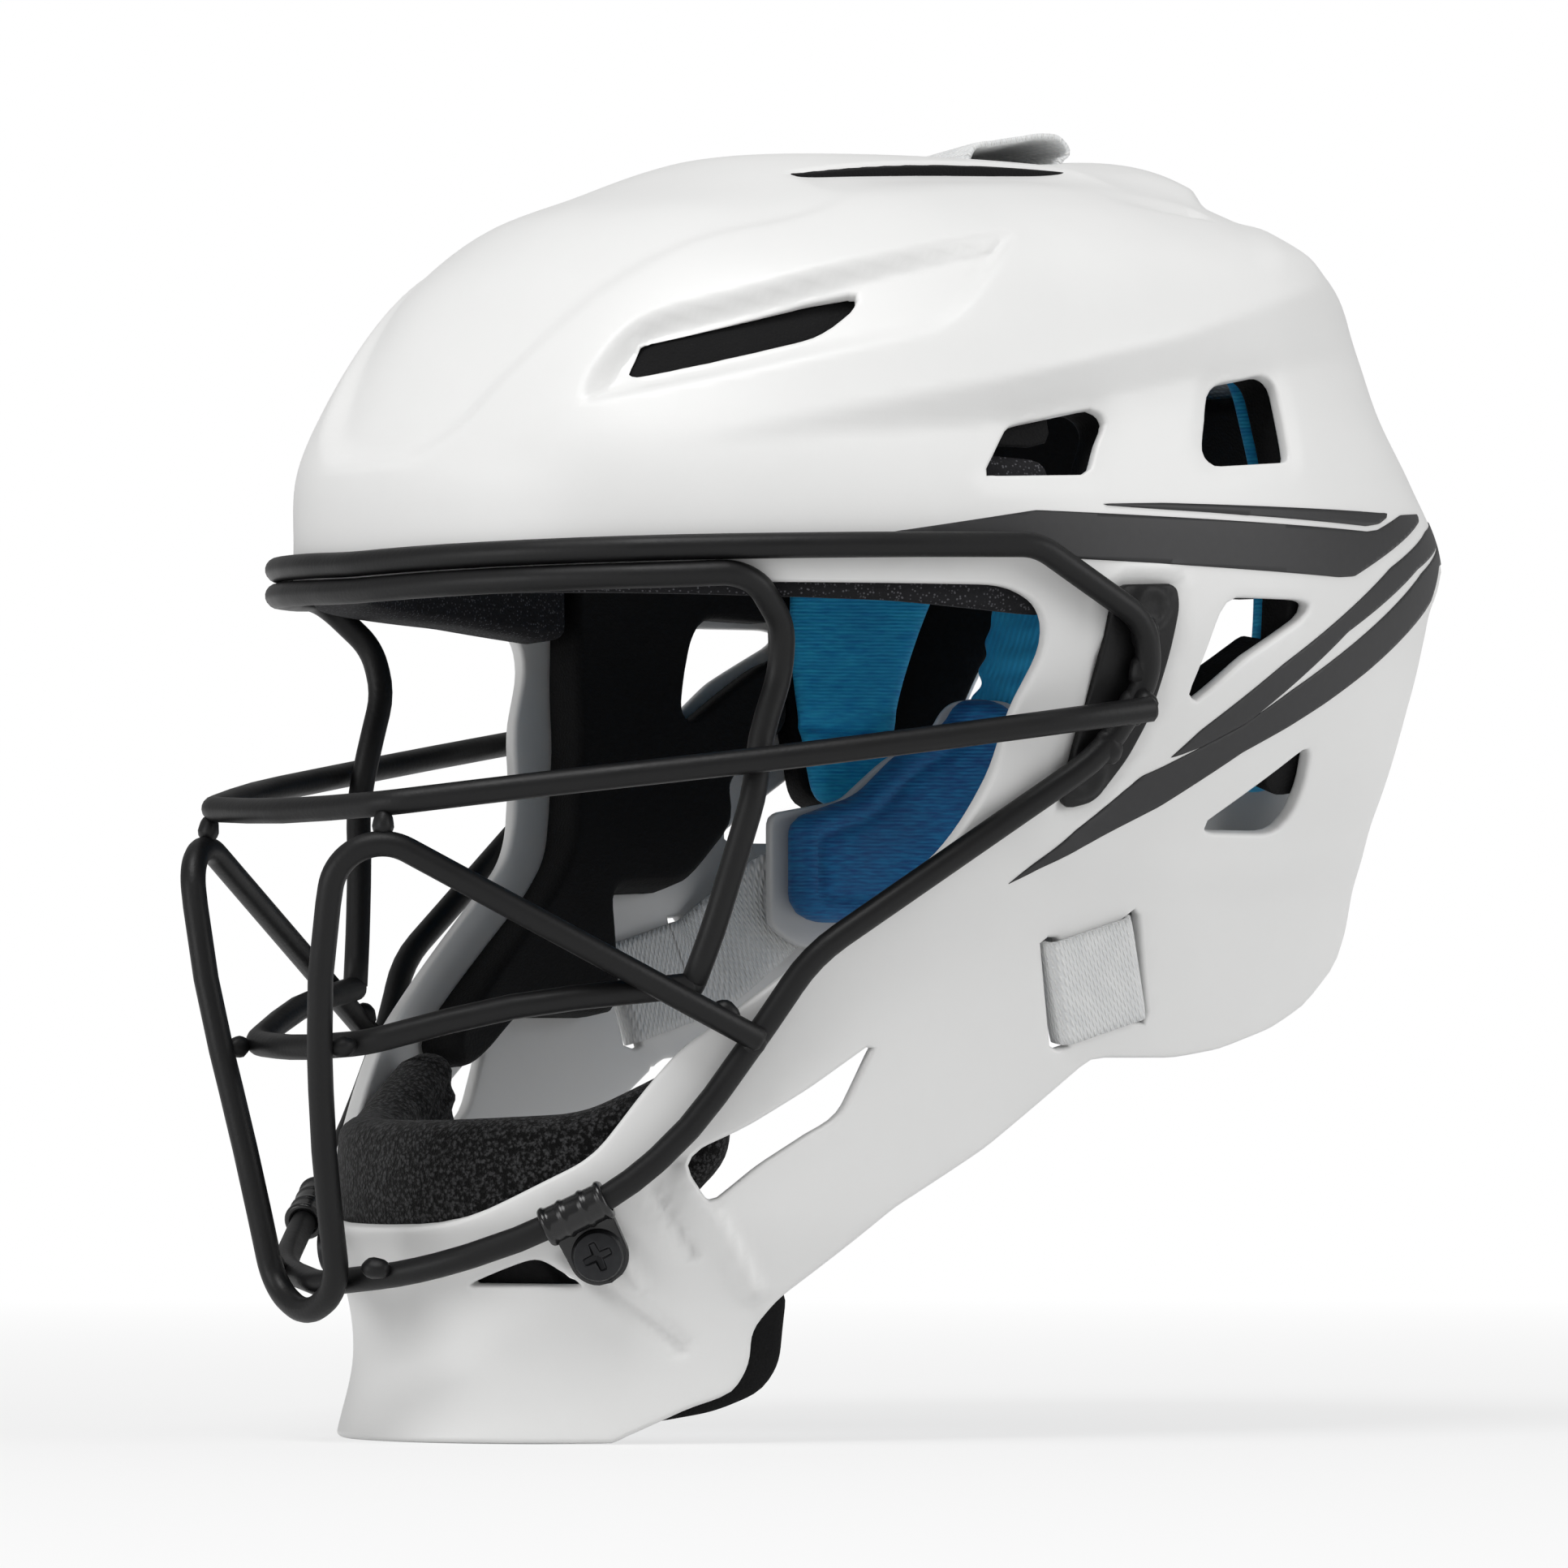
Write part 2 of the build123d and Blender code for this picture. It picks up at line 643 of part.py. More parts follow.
# Shell: one moulding, 4 mm thick, with the face opening, windows, vents and slots cut through it
scoop_depth = 2.4
with BuildPart() as recess_cutter:
    add(form_at(-side_plate_proud))
    side_prism(grown(side_plate_shares, recess_margin), edge_corner, Mode.INTERSECT)
    add(recess_floor, mode=Mode.SUBTRACT)
with BuildPart() as scoop_cutter:
    add(form_at(-side_plate_proud))
    side_prism(outline(scoop_shares), window_corner, Mode.INTERSECT)
    add(form_at(scoop_depth), mode=Mode.SUBTRACT)
with BuildPart() as shell_cutter:
    side_prism(outline(opening_shares), opening_corner, Mode.ADD)
    side_prism(outline(rear_edge_shares), edge_corner, Mode.ADD)
    for window in (front_window_shares, rear_window_shares, ear_window_shares,
                   nape_window_shares, jaw_window_shares, brow_vent_shares):
        side_prism(outline(window), window_corner, Mode.ADD)
    for slot in (front_slot_shares, rear_slot_shares):
        side_prism(slot_outline(slot), slot_corner, Mode.ADD)
    for share in crown_slot_shares:
        with BuildSketch(Plane.XY.offset(crown_height / 2)):
            with Locations((0, share * shell_rear)):
                Rectangle(top_strap_width + slot_width / 2, slot_width)
        extrude(amount=crown_height)
    for hand in (1, -1):
        vent = [(hand * x, z) for x, z in rear_view(chin_vent_shares)]
        prism(Plane.XZ.offset(shell_front / 2), vent, window_corner, shell_front, Mode.ADD)
        for seat in bolt_planes():
            with BuildSketch(handed(seat, hand).offset(shell_wall)):
                Circle(bolt_diameter / 2 + bolt_hole_clearance)
            extrude(amount=-shell_wall * 4)
        with BuildSketch(handed(screw_seat, hand)):
            Circle(screw_diameter / 2 + bolt_hole_clearance)
        extrude(amount=-shell_wall * 4)
with BuildPart() as shell:
    add(outer_form)
    add(wall_form, mode=Mode.SUBTRACT)
    add(shell_cutter.part, mode=Mode.SUBTRACT)
    add(recess_cutter.part, mode=Mode.SUBTRACT)
    add(scoop_cutter.part, mode=Mode.SUBTRACT)
save("shell", shell)


# Pads
def layer(outer_inset, inner_inset):
    """Everything between two insets of the form."""
    add(form_at(outer_inset))
    add(form_at(inner_inset), mode=Mode.SUBTRACT)


def spread_prism(plane, outline, amount):
    """What is left of a pad inside an outline that spreads by the pad's draft along the normal."""
    with BuildSketch(plane) as profile:
        with BuildLine():
            Polyline(*outline, close=True)
        make_face()
    extrude(profile.sketch, amount=amount, taper=-pad_draft, mode=Mode.INTERSECT)


def side_pad_piece(shares, outer_inset, thickness, windows):
    """Pad on the left side of the shell, with holes where the shell has windows."""
    with BuildPart() as pad:
        layer(outer_inset, outer_inset + thickness)
        prism(Plane.YZ, outline(shares), pad_corner, shell_half_width, Mode.INTERSECT)
        for window in windows:
            side_prism(grown(window, window_margin), pad_corner, Mode.SUBTRACT)
        for seat in bolt_planes():
            with BuildSketch(seat):
                Circle(nut_flange_diameter / 2 + soft_clearance)
            extrude(amount=-nut_relief_depth, mode=Mode.SUBTRACT)
    return pad


side_pad = side_pad_piece(side_pad_shares, pad_seat, side_pad_thickness,
                          (front_window_shares, rear_window_shares, ear_window_shares))
mirrored("side_pad", side_pad)
rear_pad = side_pad_piece(rear_pad_shares, pad_seat, rear_pad_thickness, (rear_window_shares,))
mirrored("rear_pad", rear_pad)

with BuildPart() as forehead_pad:
    layer(pad_seat, pad_seat + forehead_pad_thickness)
    side_prism(outline(forehead_shares), pad_corner, Mode.INTERSECT)
save("forehead_pad", forehead_pad)

with BuildPart() as crown_pad:
    layer(strap_pad_seat, strap_pad_seat + crown_pad_thickness)
    top = [(x * shell_half_width, y * shell_rear) for x, y in crown_pad_shares]
    spread_prism(Plane.XY.offset(crown_height / 1.6), top, crown_height / 2)
save("crown_pad", crown_pad)

with BuildPart() as rear_upper_pad:
    layer(strap_pad_seat, strap_pad_seat + rear_upper_pad_thickness)
    back = Plane(origin=(0, shell_rear / 2.2, 0), x_dir=(-1, 0, 0), z_dir=(0, 1, 0))
    spread_prism(back, rear_view(rear_upper_shares), shell_rear)
save("rear_upper_pad", rear_upper_pad)

with BuildPart() as chin_pad:
    layer(pad_seat, pad_seat + chin_pad_thickness)
    side_prism(outline(chin_pad_shares), pad_corner, Mode.INTERSECT)
    for hand in (1, -1):
        with BuildSketch(handed(washer_seat, hand).offset(shell_wall)):
            Circle(washer_diameter / 2 + soft_clearance * 2)
        extrude(amount=-washer_relief_depth, mode=Mode.SUBTRACT)
save("chin_pad", chin_pad)

with BuildPart() as throat_pad:
    layer(pad_seat, pad_seat + throat_pad_thickness)
    side_prism(outline(throat_pad_shares), pad_corner, Mode.INTERSECT)
save("throat_pad", throat_pad)

# Straps
def cut_layer(outer_inset, inner_inset, plane, outline, corner, amount):
    """Part of a layer of the form inside an outline that is carried along a plane's normal."""
    with BuildPart() as piece:
        layer(outer_inset, inner_inset)
        prism(plane, outline, corner, amount, Mode.INTERSECT)
    return piece.part


def across_top(near, far):
    """Top-view rectangle of the top strap's width between two places along the head."""
    half = top_strap_width / 2
    return [(-half, near), (half, near), (half, far), (-half, far)]


strap_low = Plane.XY.offset(top_strap_end_share * crown_height)
near_slot, far_slot = [share * shell_rear for share in crown_slot_shares]
run_near, run_far = [share * shell_rear for share in top_strap_run_shares]
top_run = cut_layer(pad_seat, strap_floor, strap_low, across_top(run_near, run_far), slot_corner,
                    crown_height)


def arch(near, far, foot, spring, top):
    """Side view of an arch of webbing: two legs, and an arc over them."""
    with BuildSketch(Plane.YZ.offset(-top_strap_width / 2)) as profile:
        with BuildLine():
            Polyline((near, spring), (near, foot), (far, foot), (far, spring))
            ThreePointArc((near, spring), ((near + far) / 2, top), (far, spring))
        make_face()
    return profile.sketch


strap_half = webbing_thickness / 2
leg_foot = crown_height - strap_floor
with BuildPart() as top_strap:
    extrude(arch(near_slot - strap_half, far_slot + strap_half, leg_foot, crown_height,
                 crown_height + loop_rise), amount=top_strap_width)
    extrude(arch(near_slot + strap_half, far_slot - strap_half, leg_foot - overrun, crown_height,
                 crown_height + loop_rise - webbing_thickness), amount=top_strap_width,
            mode=Mode.SUBTRACT)
    add(top_run)
save("top_strap", top_strap)


# Side strap: a loop through both slots and round the bridge, then back to the arm of the plate
front_top, front_foot = [form_point(*side(*share)) for share in front_slot_shares]
rear_top, rear_foot = [form_point(*side(*share)) for share in rear_slot_shares]
front_middle = (front_top + front_foot) * 0.5
rear_middle = (rear_top + rear_foot) * 0.5
strap_along = (rear_middle - front_middle).normalized()
strap_out = form_normal((front_middle.Y + rear_middle.Y) / 2, (front_middle.Z + rear_middle.Z) / 2)
strap_out = (strap_out - strap_along * strap_out.dot(strap_along)).normalized()
strap_spacing = (rear_middle - front_middle).length
bridge_middle = (front_middle + rear_middle) * 0.5


def plate_point(y, height, outset):
    """Point on the left side of the back plate's outside, moved out by outset."""
    reach = plate_depth + outset
    half = plate_half_width + outset
    across = (1 - (abs(y - plate_centre) / reach) ** plate_roundness) ** (1 / plate_roundness)
    return Vector(half * across, y, height)


def plate_normal(y):
    """Outward direction of the left side of the back plate."""
    step = plate_thickness
    along = plate_point(y + step, 0, 0) - plate_point(y - step, 0, 0)
    return Vector(along.Y, -along.X, 0).normalized()


def plate_rear(x):
    """Rearmost reach of the back plate's outside at x."""
    across = (1 - (x / plate_half_width) ** plate_roundness) ** (1 / plate_roundness)
    return plate_centre + plate_depth * across


def rear_normal(x):
    """Outward direction of the rear of the back plate at x."""
    return Vector(plate_rear(x - plate_thickness) - plate_rear(x + plate_thickness),
                  plate_thickness * 2, 0).normalized()


arm_point = side(*strap_anchor_share)
arm_out = plate_normal(arm_point[0])
anchor = plate_point(*arm_point, 0) + arm_out * (soft_clearance * 2.5 + hem_thickness / 2)
strap_up = strap_along.cross(strap_out)
strap_up = strap_up if strap_up.Z > 0 else strap_up * -1
strap_depth = shell_wall + strap_gap + webbing_thickness / 2
leave = rear_middle - strap_out * strap_depth
along_plate = Vector(-arm_out.Y, arm_out.X, 0)
strap_end = anchor + along_plate * (side_strap_width / 3)
rivet_spots = []
for step in (-1, 1):
    spot = (anchor + strap_end) * 0.5 + Vector(0, 0, 1) * (step * side_strap_width / 4)
    rivet_spots.append(Plane(origin=spot, x_dir=(0, 0, 1), z_dir=arm_out))
ring_plane = Plane(origin=bridge_middle - strap_up * (side_strap_width / 2), x_dir=strap_along,
                   z_dir=strap_up)
ring_middle = -ring_plane.to_local_coords(bridge_middle - strap_up * (side_strap_width / 2)
                                          + strap_out * (shell_wall / 2))
wall_room = shell_wall + strap_gap * 2
with BuildPart() as side_strap:
    with BuildSketch(ring_plane):
        with Locations(ring_middle):
            RectangleRounded(strap_spacing + webbing_thickness, wall_room + webbing_thickness * 2,
                             webbing_thickness)
            Rectangle(strap_spacing - webbing_thickness, wall_room, mode=Mode.SUBTRACT)
    extrude(amount=side_strap_width)
    pieces = []
    for place, up, ahead in ((leave, strap_up, strap_along), (anchor, Vector(0, 0, 1), along_plate)):
        with BuildSketch(Plane(origin=place, x_dir=ahead.cross(up).normalized(), z_dir=ahead)) as section:
            Rectangle(webbing_thickness, side_strap_width)
        pieces.append(section.sketch)
    loft(sections=pieces, ruled=True)
    with BuildSketch(Plane(origin=anchor - along_plate * hem_thickness,
                           x_dir=along_plate.cross(Vector(0, 0, 1)), z_dir=along_plate)):
        Rectangle(hem_thickness, side_strap_width + hem_thickness / 4)
    extrude(amount=(strap_end - anchor).length + hem_thickness)
    for seat in rivet_spots:
        with BuildSketch(seat.offset(webbing_thickness * 2)):
            Circle(rivet_diameter / 2 + rivet_clearance)
        extrude(amount=-webbing_thickness * 4, mode=Mode.SUBTRACT)
mirrored("side_strap", side_strap)


# Back plate and its pad
def plate_ring(outer, inner, low, high):
    """Upright ring between two insets of the plate's plan, between two heights."""
    for inset, mode in ((outer, Mode.ADD), (inner, Mode.SUBTRACT)):
        plan = egg(plate_half_width - inset, plate_centre, plate_centre + plate_depth - inset,
                   plate_centre, plate_roundness)
        face = flat_egg(plan, low)
        extrude(face, amount=high - low, dir=(0, 0, 1), mode=mode)


plate_low, plate_high = height_of(plate_span_shares[0]), height_of(plate_span_shares[1])
with BuildPart() as back_plate:
    plate_ring(0, plate_thickness, plate_low, plate_high)
    side_prism(outline(plate_shares), edge_corner, Mode.INTERSECT)
    for hand in (1, -1):
        for seat in rivet_spots:
            with BuildSketch(handed(seat, hand)):
                Circle(rivet_diameter / 2 + rivet_clearance)
            extrude(amount=-plate_thickness * 3, mode=Mode.SUBTRACT)
save("back_plate", back_plate)

pad_outset = plate_thickness + plate_pad_gap
with BuildPart() as back_plate_pad:
    plate_ring(pad_outset, pad_outset + plate_pad_thickness, plate_low, plate_high)
    side_prism(outline(plate_pad_shares), edge_corner, Mode.INTERSECT)
save("back_plate_pad", back_plate_pad)

# Elastic sleeves: flat bands from inside the shell's rear down to the plate's side tabs
sleeve_low = plate_point(*side(*sleeve_foot_share), 0)
sleeve_low_out = plate_normal(sleeve_low.Y)
sleeve_top_y, sleeve_top_z = side(*sleeve_top_share)
sleeve_top = form_point(sleeve_top_y, sleeve_top_z, -pad_seat)
sleeve_top_out = form_normal(sleeve_top_y, sleeve_top_z)
sleeve_top_out = Vector(sleeve_top_out.X, sleeve_top_out.Y, 0).normalized()
with BuildPart() as rear_sleeve:
    ends = []
    for place, out, stand in ((sleeve_top, sleeve_top_out, -sleeve_standoff),
                              (sleeve_low, sleeve_low_out, soft_clearance + sleeve_thickness / 2)):
        with BuildSketch(Plane(origin=place + out * stand, x_dir=out, z_dir=(0, 0, -1))) as section:
            RectangleRounded(sleeve_thickness, sleeve_width, sleeve_thickness / 2.2)
        ends.append(section.sketch)
    loft(sections=ends, ruled=True)
mirrored("rear_sleeve", rear_sleeve)

# Rivets that hold the side straps on the plate's arms, and loops for a ponytail strap
rivet_seat = hem_thickness / 2 + rivet_clearance
with BuildPart() as plate_rivets:
    for hand in (1, -1):
        for spot in rivet_spots:
            seat = handed(spot, hand).offset(rivet_seat)
            with BuildSketch(seat):
                Circle(rivet_head_diameter / 2)
            extrude(amount=rivet_head_height)
            with BuildSketch(seat):
                Circle(rivet_diameter / 2)
            extrude(amount=-(hem_thickness + plate_thickness + soft_clearance * 2.5))
save("plate_rivets", plate_rivets)

# Loops on the plate's upper edge for a ponytail strap
with BuildPart() as strap_loops:
    for hand in (1, -1):
        x, z = hand * loop_shares[0] * shell_half_width, height_of(loop_shares[1])
        spot = Vector(x, plate_rear(abs(x)), z)
        out = Vector(hand * rear_normal(abs(x)).X, rear_normal(abs(x)).Y, 0)
        with BuildSketch(Plane(origin=spot + out * soft_clearance, x_dir=(-out.Y, out.X, 0), z_dir=out)):
            Rectangle(loop_width, loop_height)
            Rectangle(loop_width - loop_bar * 2, loop_height - loop_bar * 2, mode=Mode.SUBTRACT)
        extrude(amount=loop_bar)
save("strap_loops", strap_loops)
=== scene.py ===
import math

import bpy
import numpy as np
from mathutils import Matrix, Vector


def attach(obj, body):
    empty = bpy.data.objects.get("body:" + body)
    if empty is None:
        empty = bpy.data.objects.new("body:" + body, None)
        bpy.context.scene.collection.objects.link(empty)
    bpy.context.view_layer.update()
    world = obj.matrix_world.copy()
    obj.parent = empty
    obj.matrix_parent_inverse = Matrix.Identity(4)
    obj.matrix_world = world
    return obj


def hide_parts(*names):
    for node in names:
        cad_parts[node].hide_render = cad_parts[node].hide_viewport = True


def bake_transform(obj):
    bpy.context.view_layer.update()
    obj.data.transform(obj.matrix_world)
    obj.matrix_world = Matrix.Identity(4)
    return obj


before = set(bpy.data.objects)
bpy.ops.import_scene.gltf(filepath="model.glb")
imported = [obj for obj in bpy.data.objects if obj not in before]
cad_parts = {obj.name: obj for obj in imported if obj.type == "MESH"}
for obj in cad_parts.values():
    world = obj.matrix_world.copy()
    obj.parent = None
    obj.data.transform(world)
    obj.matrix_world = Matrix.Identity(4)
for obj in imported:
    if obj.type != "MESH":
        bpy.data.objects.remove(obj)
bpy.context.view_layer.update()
scene = bpy.context.scene

# Camera: a long lens at the left front of the helmet, a little below the middle of the head.
# All lengths in this file are millimetres, and become metres when a mesh is made.
MM = 0.001
camera_place = Vector((2118.2, -1508.1, -89.0))
camera_aim = Vector((-11.7, -16.7, -22.7))
camera_data = bpy.data.cameras.new("camera")
camera_data.sensor_width = 36
camera_data.lens = 247.1
camera_data.clip_start, camera_data.clip_end = 0.1, 60
camera = bpy.data.objects.new("camera", camera_data)
camera.location = camera_place * MM
camera.rotation_euler = (camera_aim - camera_place).to_track_quat("-Z", "Y").to_euler()
scene.collection.objects.link(camera)
scene.camera = camera
scene.view_settings.view_transform = "Standard"

# Floor and light: a white sweep that keeps the helmet's shadow, two soft boxes and a bright room.
# The helmet stands on the lower rim of its throat guard.
floor_height = -178.4


def linear(colour, alpha=1.0):
    """Linear colour of an sRGB hex value such as E8E8E6."""
    values = [int(colour[i:i + 2], 16) / 255 for i in (0, 2, 4)]
    return tuple(v / 12.92 if v <= 0.04045 else ((v + 0.055) / 1.055) ** 2.4 for v in values) + (alpha,)


def add_node(tree, kind, inputs=(), **settings):
    """A node with its settings. Each input is set to a value, or linked when it is given a socket."""
    node = tree.nodes.new("ShaderNode" + kind)
    for key, value in settings.items():
        setattr(node, key, value)
    for key, value in dict(inputs).items():
        if isinstance(value, bpy.types.NodeSocket):
            tree.links.new(value, node.inputs[key])
        else:
            node.inputs[key].default_value = value
    return node


floor_size = 9000
floor_mesh = bpy.data.meshes.new("floor")
floor_corners = [(x * floor_size * MM, y * floor_size * MM, floor_height * MM)
                 for x, y in ((-1, -1), (1, -1), (1, 1), (-1, 1))]
floor_mesh.from_pydata(floor_corners, [], [(0, 1, 2, 3)])
floor = bpy.data.objects.new("floor", floor_mesh)
scene.collection.objects.link(floor)
floor_paper = bpy.data.materials.new("studio_paper")
floor_paper.use_nodes = True
tree = floor_paper.node_tree
tree.nodes.clear()
rays = add_node(tree, "LightPath")
seen = add_node(tree, "Math", {0: rays.outputs["Is Camera Ray"], 1: rays.outputs["Is Glossy Ray"]},
                operation="MAXIMUM")
spot = add_node(tree, "TexCoord")
away = add_node(tree, "VectorMath", {0: spot.outputs["Object"]}, operation="LENGTH")
fade = add_node(tree, "MapRange", {0: away.outputs["Value"], 1: 0.25, 2: 1.4, 3: 0.72, 4: 1.0})
share = add_node(tree, "Math", {0: seen.outputs[0], 1: fade.outputs[0]}, operation="MULTIPLY")
paper = add_node(tree, "BsdfDiffuse", {"Color": linear("DEDEDE")})
glow = add_node(tree, "Emission", {"Color": (1, 1, 1, 1), "Strength": 1.0})
mixed = add_node(tree, "MixShader", {0: share.outputs[0], 1: paper.outputs[0], 2: glow.outputs[0]})
add_node(tree, "OutputMaterial", {"Surface": mixed.outputs[0]})
floor_mesh.materials.append(floor_paper)

room = bpy.data.worlds.new("studio_room")
scene.world = room
room.use_nodes = True
tree = room.node_tree
tree.nodes.clear()
rays = add_node(tree, "LightPath")
seen = add_node(tree, "Math", {0: rays.outputs["Is Camera Ray"], 1: rays.outputs["Is Transmission Ray"]},
                operation="MAXIMUM")
level = add_node(tree, "Mix", {0: seen.outputs[0], 2: 0.39, 3: 1.0})
sky = add_node(tree, "Background", {"Color": (1, 1, 1, 1), "Strength": level.outputs[0]})
add_node(tree, "OutputWorld", {"Surface": sky.outputs[0]})

for lamp_name, place, size, power in (
    ("key_box", (500, -900, 1900), 1000, 23),
    ("side_box", (1500, 1100, 600), 1100, 11),
    ("front_box", (-100, -1900, 100), 1000, 9.5),
):
    lamp = bpy.data.lights.new(lamp_name, "AREA")
    lamp.size = size * MM
    lamp.energy = power
    box = bpy.data.objects.new(lamp_name, lamp)
    box.location = Vector(place) * MM
    box.rotation_euler = (-Vector(place)).to_track_quat("-Z", "Y").to_euler()
    scene.collection.objects.link(box)

# Shell: one injection-moulded piece about 4 mm thick, in white polycarbonate blend. The face opening,
# vents, windows and strap slots are moulded in, and the stripes on both sides are pad-printed.
shell_wall = 4.0
half_width, front_reach, rear_reach, crown, throat = 115, 144, 143, 128, 178
form_rows = np.array([
    (-1.06, 0.660, 1.000, 0.70, 0.00, 2.20), (-1.00, 0.670, 0.983, 0.70, 0.00, 2.20),
    (-0.90, 0.691, 0.944, 0.70, 0.00, 2.20), (-0.815, 0.713, 0.951, 0.70, 0.00, 2.20),
    (-0.70, 0.748, 1.003, 0.72, 0.00, 2.20), (-0.45, 0.800, 0.979, 1.05, 0.03, 2.20),
    (-0.25, 0.857, 0.993, 1.05, 0.07, 2.20), (-0.11, 0.930, 0.997, 1.05, 0.07, 2.20),
    (0.06, 0.991, 1.000, 1.02, 0.07, 2.20), (0.26, 1.000, 1.000, 1.00, 0.07, 2.20),
    (0.39, 0.978, 1.000, 0.937, 0.07, 2.20), (0.515, 0.939, 0.958, 0.881, 0.07, 2.15),
    (0.655, 0.878, 0.875, 0.846, 0.052, 2.15), (0.765, 0.800, 0.792, 0.818, 0.052, 2.10),
    (0.86, 0.687, 0.674, 0.692, 0.052, 2.10), (0.922, 0.557, 0.535, 0.601, 0.052, 2.05),
    (0.969, 0.400, 0.417, 0.545, 0.043, 2.00), (0.992, 0.261, 0.313, 0.420, 0.035, 2.00),
    (1.00, 0.113, 0.132, 0.185, 0.035, 2.00), (1.0015, 0.0, -0.0279, 0.0283, 0.035, 2.00),
])
form_rows[:, 0] *= np.where(form_rows[:, 0] > 0, crown, throat)
form_rows[:, 1:5] *= (half_width, front_reach, rear_reach, half_width)
form_chord = np.append(0, np.cumsum(np.hypot(*np.diff(form_rows[:, :2], axis=0).T)))
form_slope = np.empty_like(form_rows)
form_slope[1:-1] = (form_rows[2:] - form_rows[:-2]) / (form_chord[2:] - form_chord[:-2])[:, None]
form_slope[[0, -1]] = [(form_rows[i + 1] - form_rows[i]) / (form_chord[i + 1] - form_chord[i])
                       for i in (0, -2)]


def signed_power(value, power):
    """Size of a value raised to a power, with the value's sign kept."""
    return np.sign(value) * np.abs(value) ** power


def head_form(around, along):
    """Head form. Each level is a superellipse with its own half width, reach to the front and rear,
    middle and roundness, and those follow a smooth cubic through the rows along the side's length."""
    along = np.clip(along, 0, form_chord[-1])
    i = np.clip(np.searchsorted(form_chord, along, side="right") - 1, 0, len(form_chord) - 2)
    step = (form_chord[i + 1] - form_chord[i])[..., None]
    u = (along[..., None] - form_chord[i][..., None]) / step
    level = (form_rows[i] * (1 + 2 * u) * (1 - u) ** 2 + form_rows[i + 1] * (3 - 2 * u) * u**2
             + step * (form_slope[i] * u * (1 - u) ** 2 - form_slope[i + 1] * (1 - u) * u**2))
    height, half, front, rear, middle, roundness = np.moveaxis(level, -1, 0)
    c, s = np.cos(around), np.sin(around)
    reach = np.where(s < 0, front + middle, rear - middle)
    x = half * signed_power(c, 2 / roundness)
    return np.stack([x, middle + reach * signed_power(s, 2 / roundness), height], -1)


def unit(vectors):
    """Vectors of length one."""
    return vectors / np.maximum(np.linalg.norm(vectors, axis=-1, keepdims=True), 1e-9)


def facing(surface, around, along):
    """Outward direction of a surface: the cross product of its two slopes, each a central difference."""
    across = surface(around + 0.004, along) - surface(around - 0.004, along)
    up = surface(around, along + 0.4) - surface(around, along - 0.4)
    direction = unit(np.cross(across, up))
    return np.where(np.linalg.norm(direction, axis=-1, keepdims=True) < 0.5, (0, 0, 1), direction)


def rounded(outline, corner):
    """Outline with a short curve at each corner, from a corner's length before it to one after it."""
    at = np.array(outline, float)

    def toward(other):
        run = other - at
        length = np.linalg.norm(run, axis=1, keepdims=True)
        return at + run / length * np.minimum(corner, 0.45 * length)

    u = np.linspace(0, 1, 6)[None, :, None]
    before, after = toward(np.roll(at, 1, 0))[:, None], toward(np.roll(at, -1, 0))[:, None]
    return (before * (1 - u) ** 2 + 2 * at[:, None] * u * (1 - u) + after * u**2).reshape(-1, 2)


def depth_in(a, b, outline, corner=2.0, reach=14.0):
    """How far points lie inside a closed outline: the distance to its nearest edge, less than zero
    outside, where it is held at the reach."""
    ring = rounded(outline, corner)
    low, high = ring.min(0) - reach, ring.max(0) + reach
    near = (a > low[0]) & (a < high[0]) & (b > low[1]) & (b < high[1])
    depth = np.full(a.shape, -reach)
    spots = np.stack([a[near], b[near]], -1)
    best, inside = np.full(len(spots), 1e9), np.zeros(len(spots), bool)
    for start, end in zip(ring, np.roll(ring, -1, 0)):
        run = end - start
        if run @ run < 1e-9:
            continue
        share = np.clip((spots - start) @ run / (run @ run), 0, 1)[:, None]
        best = np.minimum(best, np.linalg.norm(spots - start - share * run, axis=1))
        if abs(run[1]) > 1e-9:
            level = (spots[:, 1] - start[1]) / run[1]
            inside ^= ((start[1] > spots[:, 1]) != (end[1] > spots[:, 1])) & (
                spots[:, 0] < start[0] + level * run[0])
    depth[near] = np.maximum(np.where(inside, best, -best), -reach)
    return depth


def side_depth(p, outline, corner):
    """How far points lie inside an outline of the side view."""
    return depth_in(p[..., 1], p[..., 2], outline, corner)


def smooth(value, start, end):
    """Share from 0 at start to 1 at end, on a smooth cubic."""
    t = np.clip((value - start) / (end - start), 0, 1)
    return t * t * (3 - 2 * t)


def grid_faces(rows, columns, around=False, other_way=False):
    """Triangles of a grid of points, row by row. Around joins the last column to the first, and the
    other way turns the faces over."""
    corner = np.arange(rows * columns).reshape(rows, columns)
    if around:
        corner = np.concatenate([corner, corner[:, :1]], 1)
    corners = corner[:-1, :-1], corner[:-1, 1:], corner[1:, 1:], corner[1:, :-1]
    p, q, r, s = (part.ravel() for part in corners)
    faces = np.concatenate([np.stack([p, q, r], -1), np.stack([p, r, s], -1)])
    return faces[:, ::-1] if other_way else faces


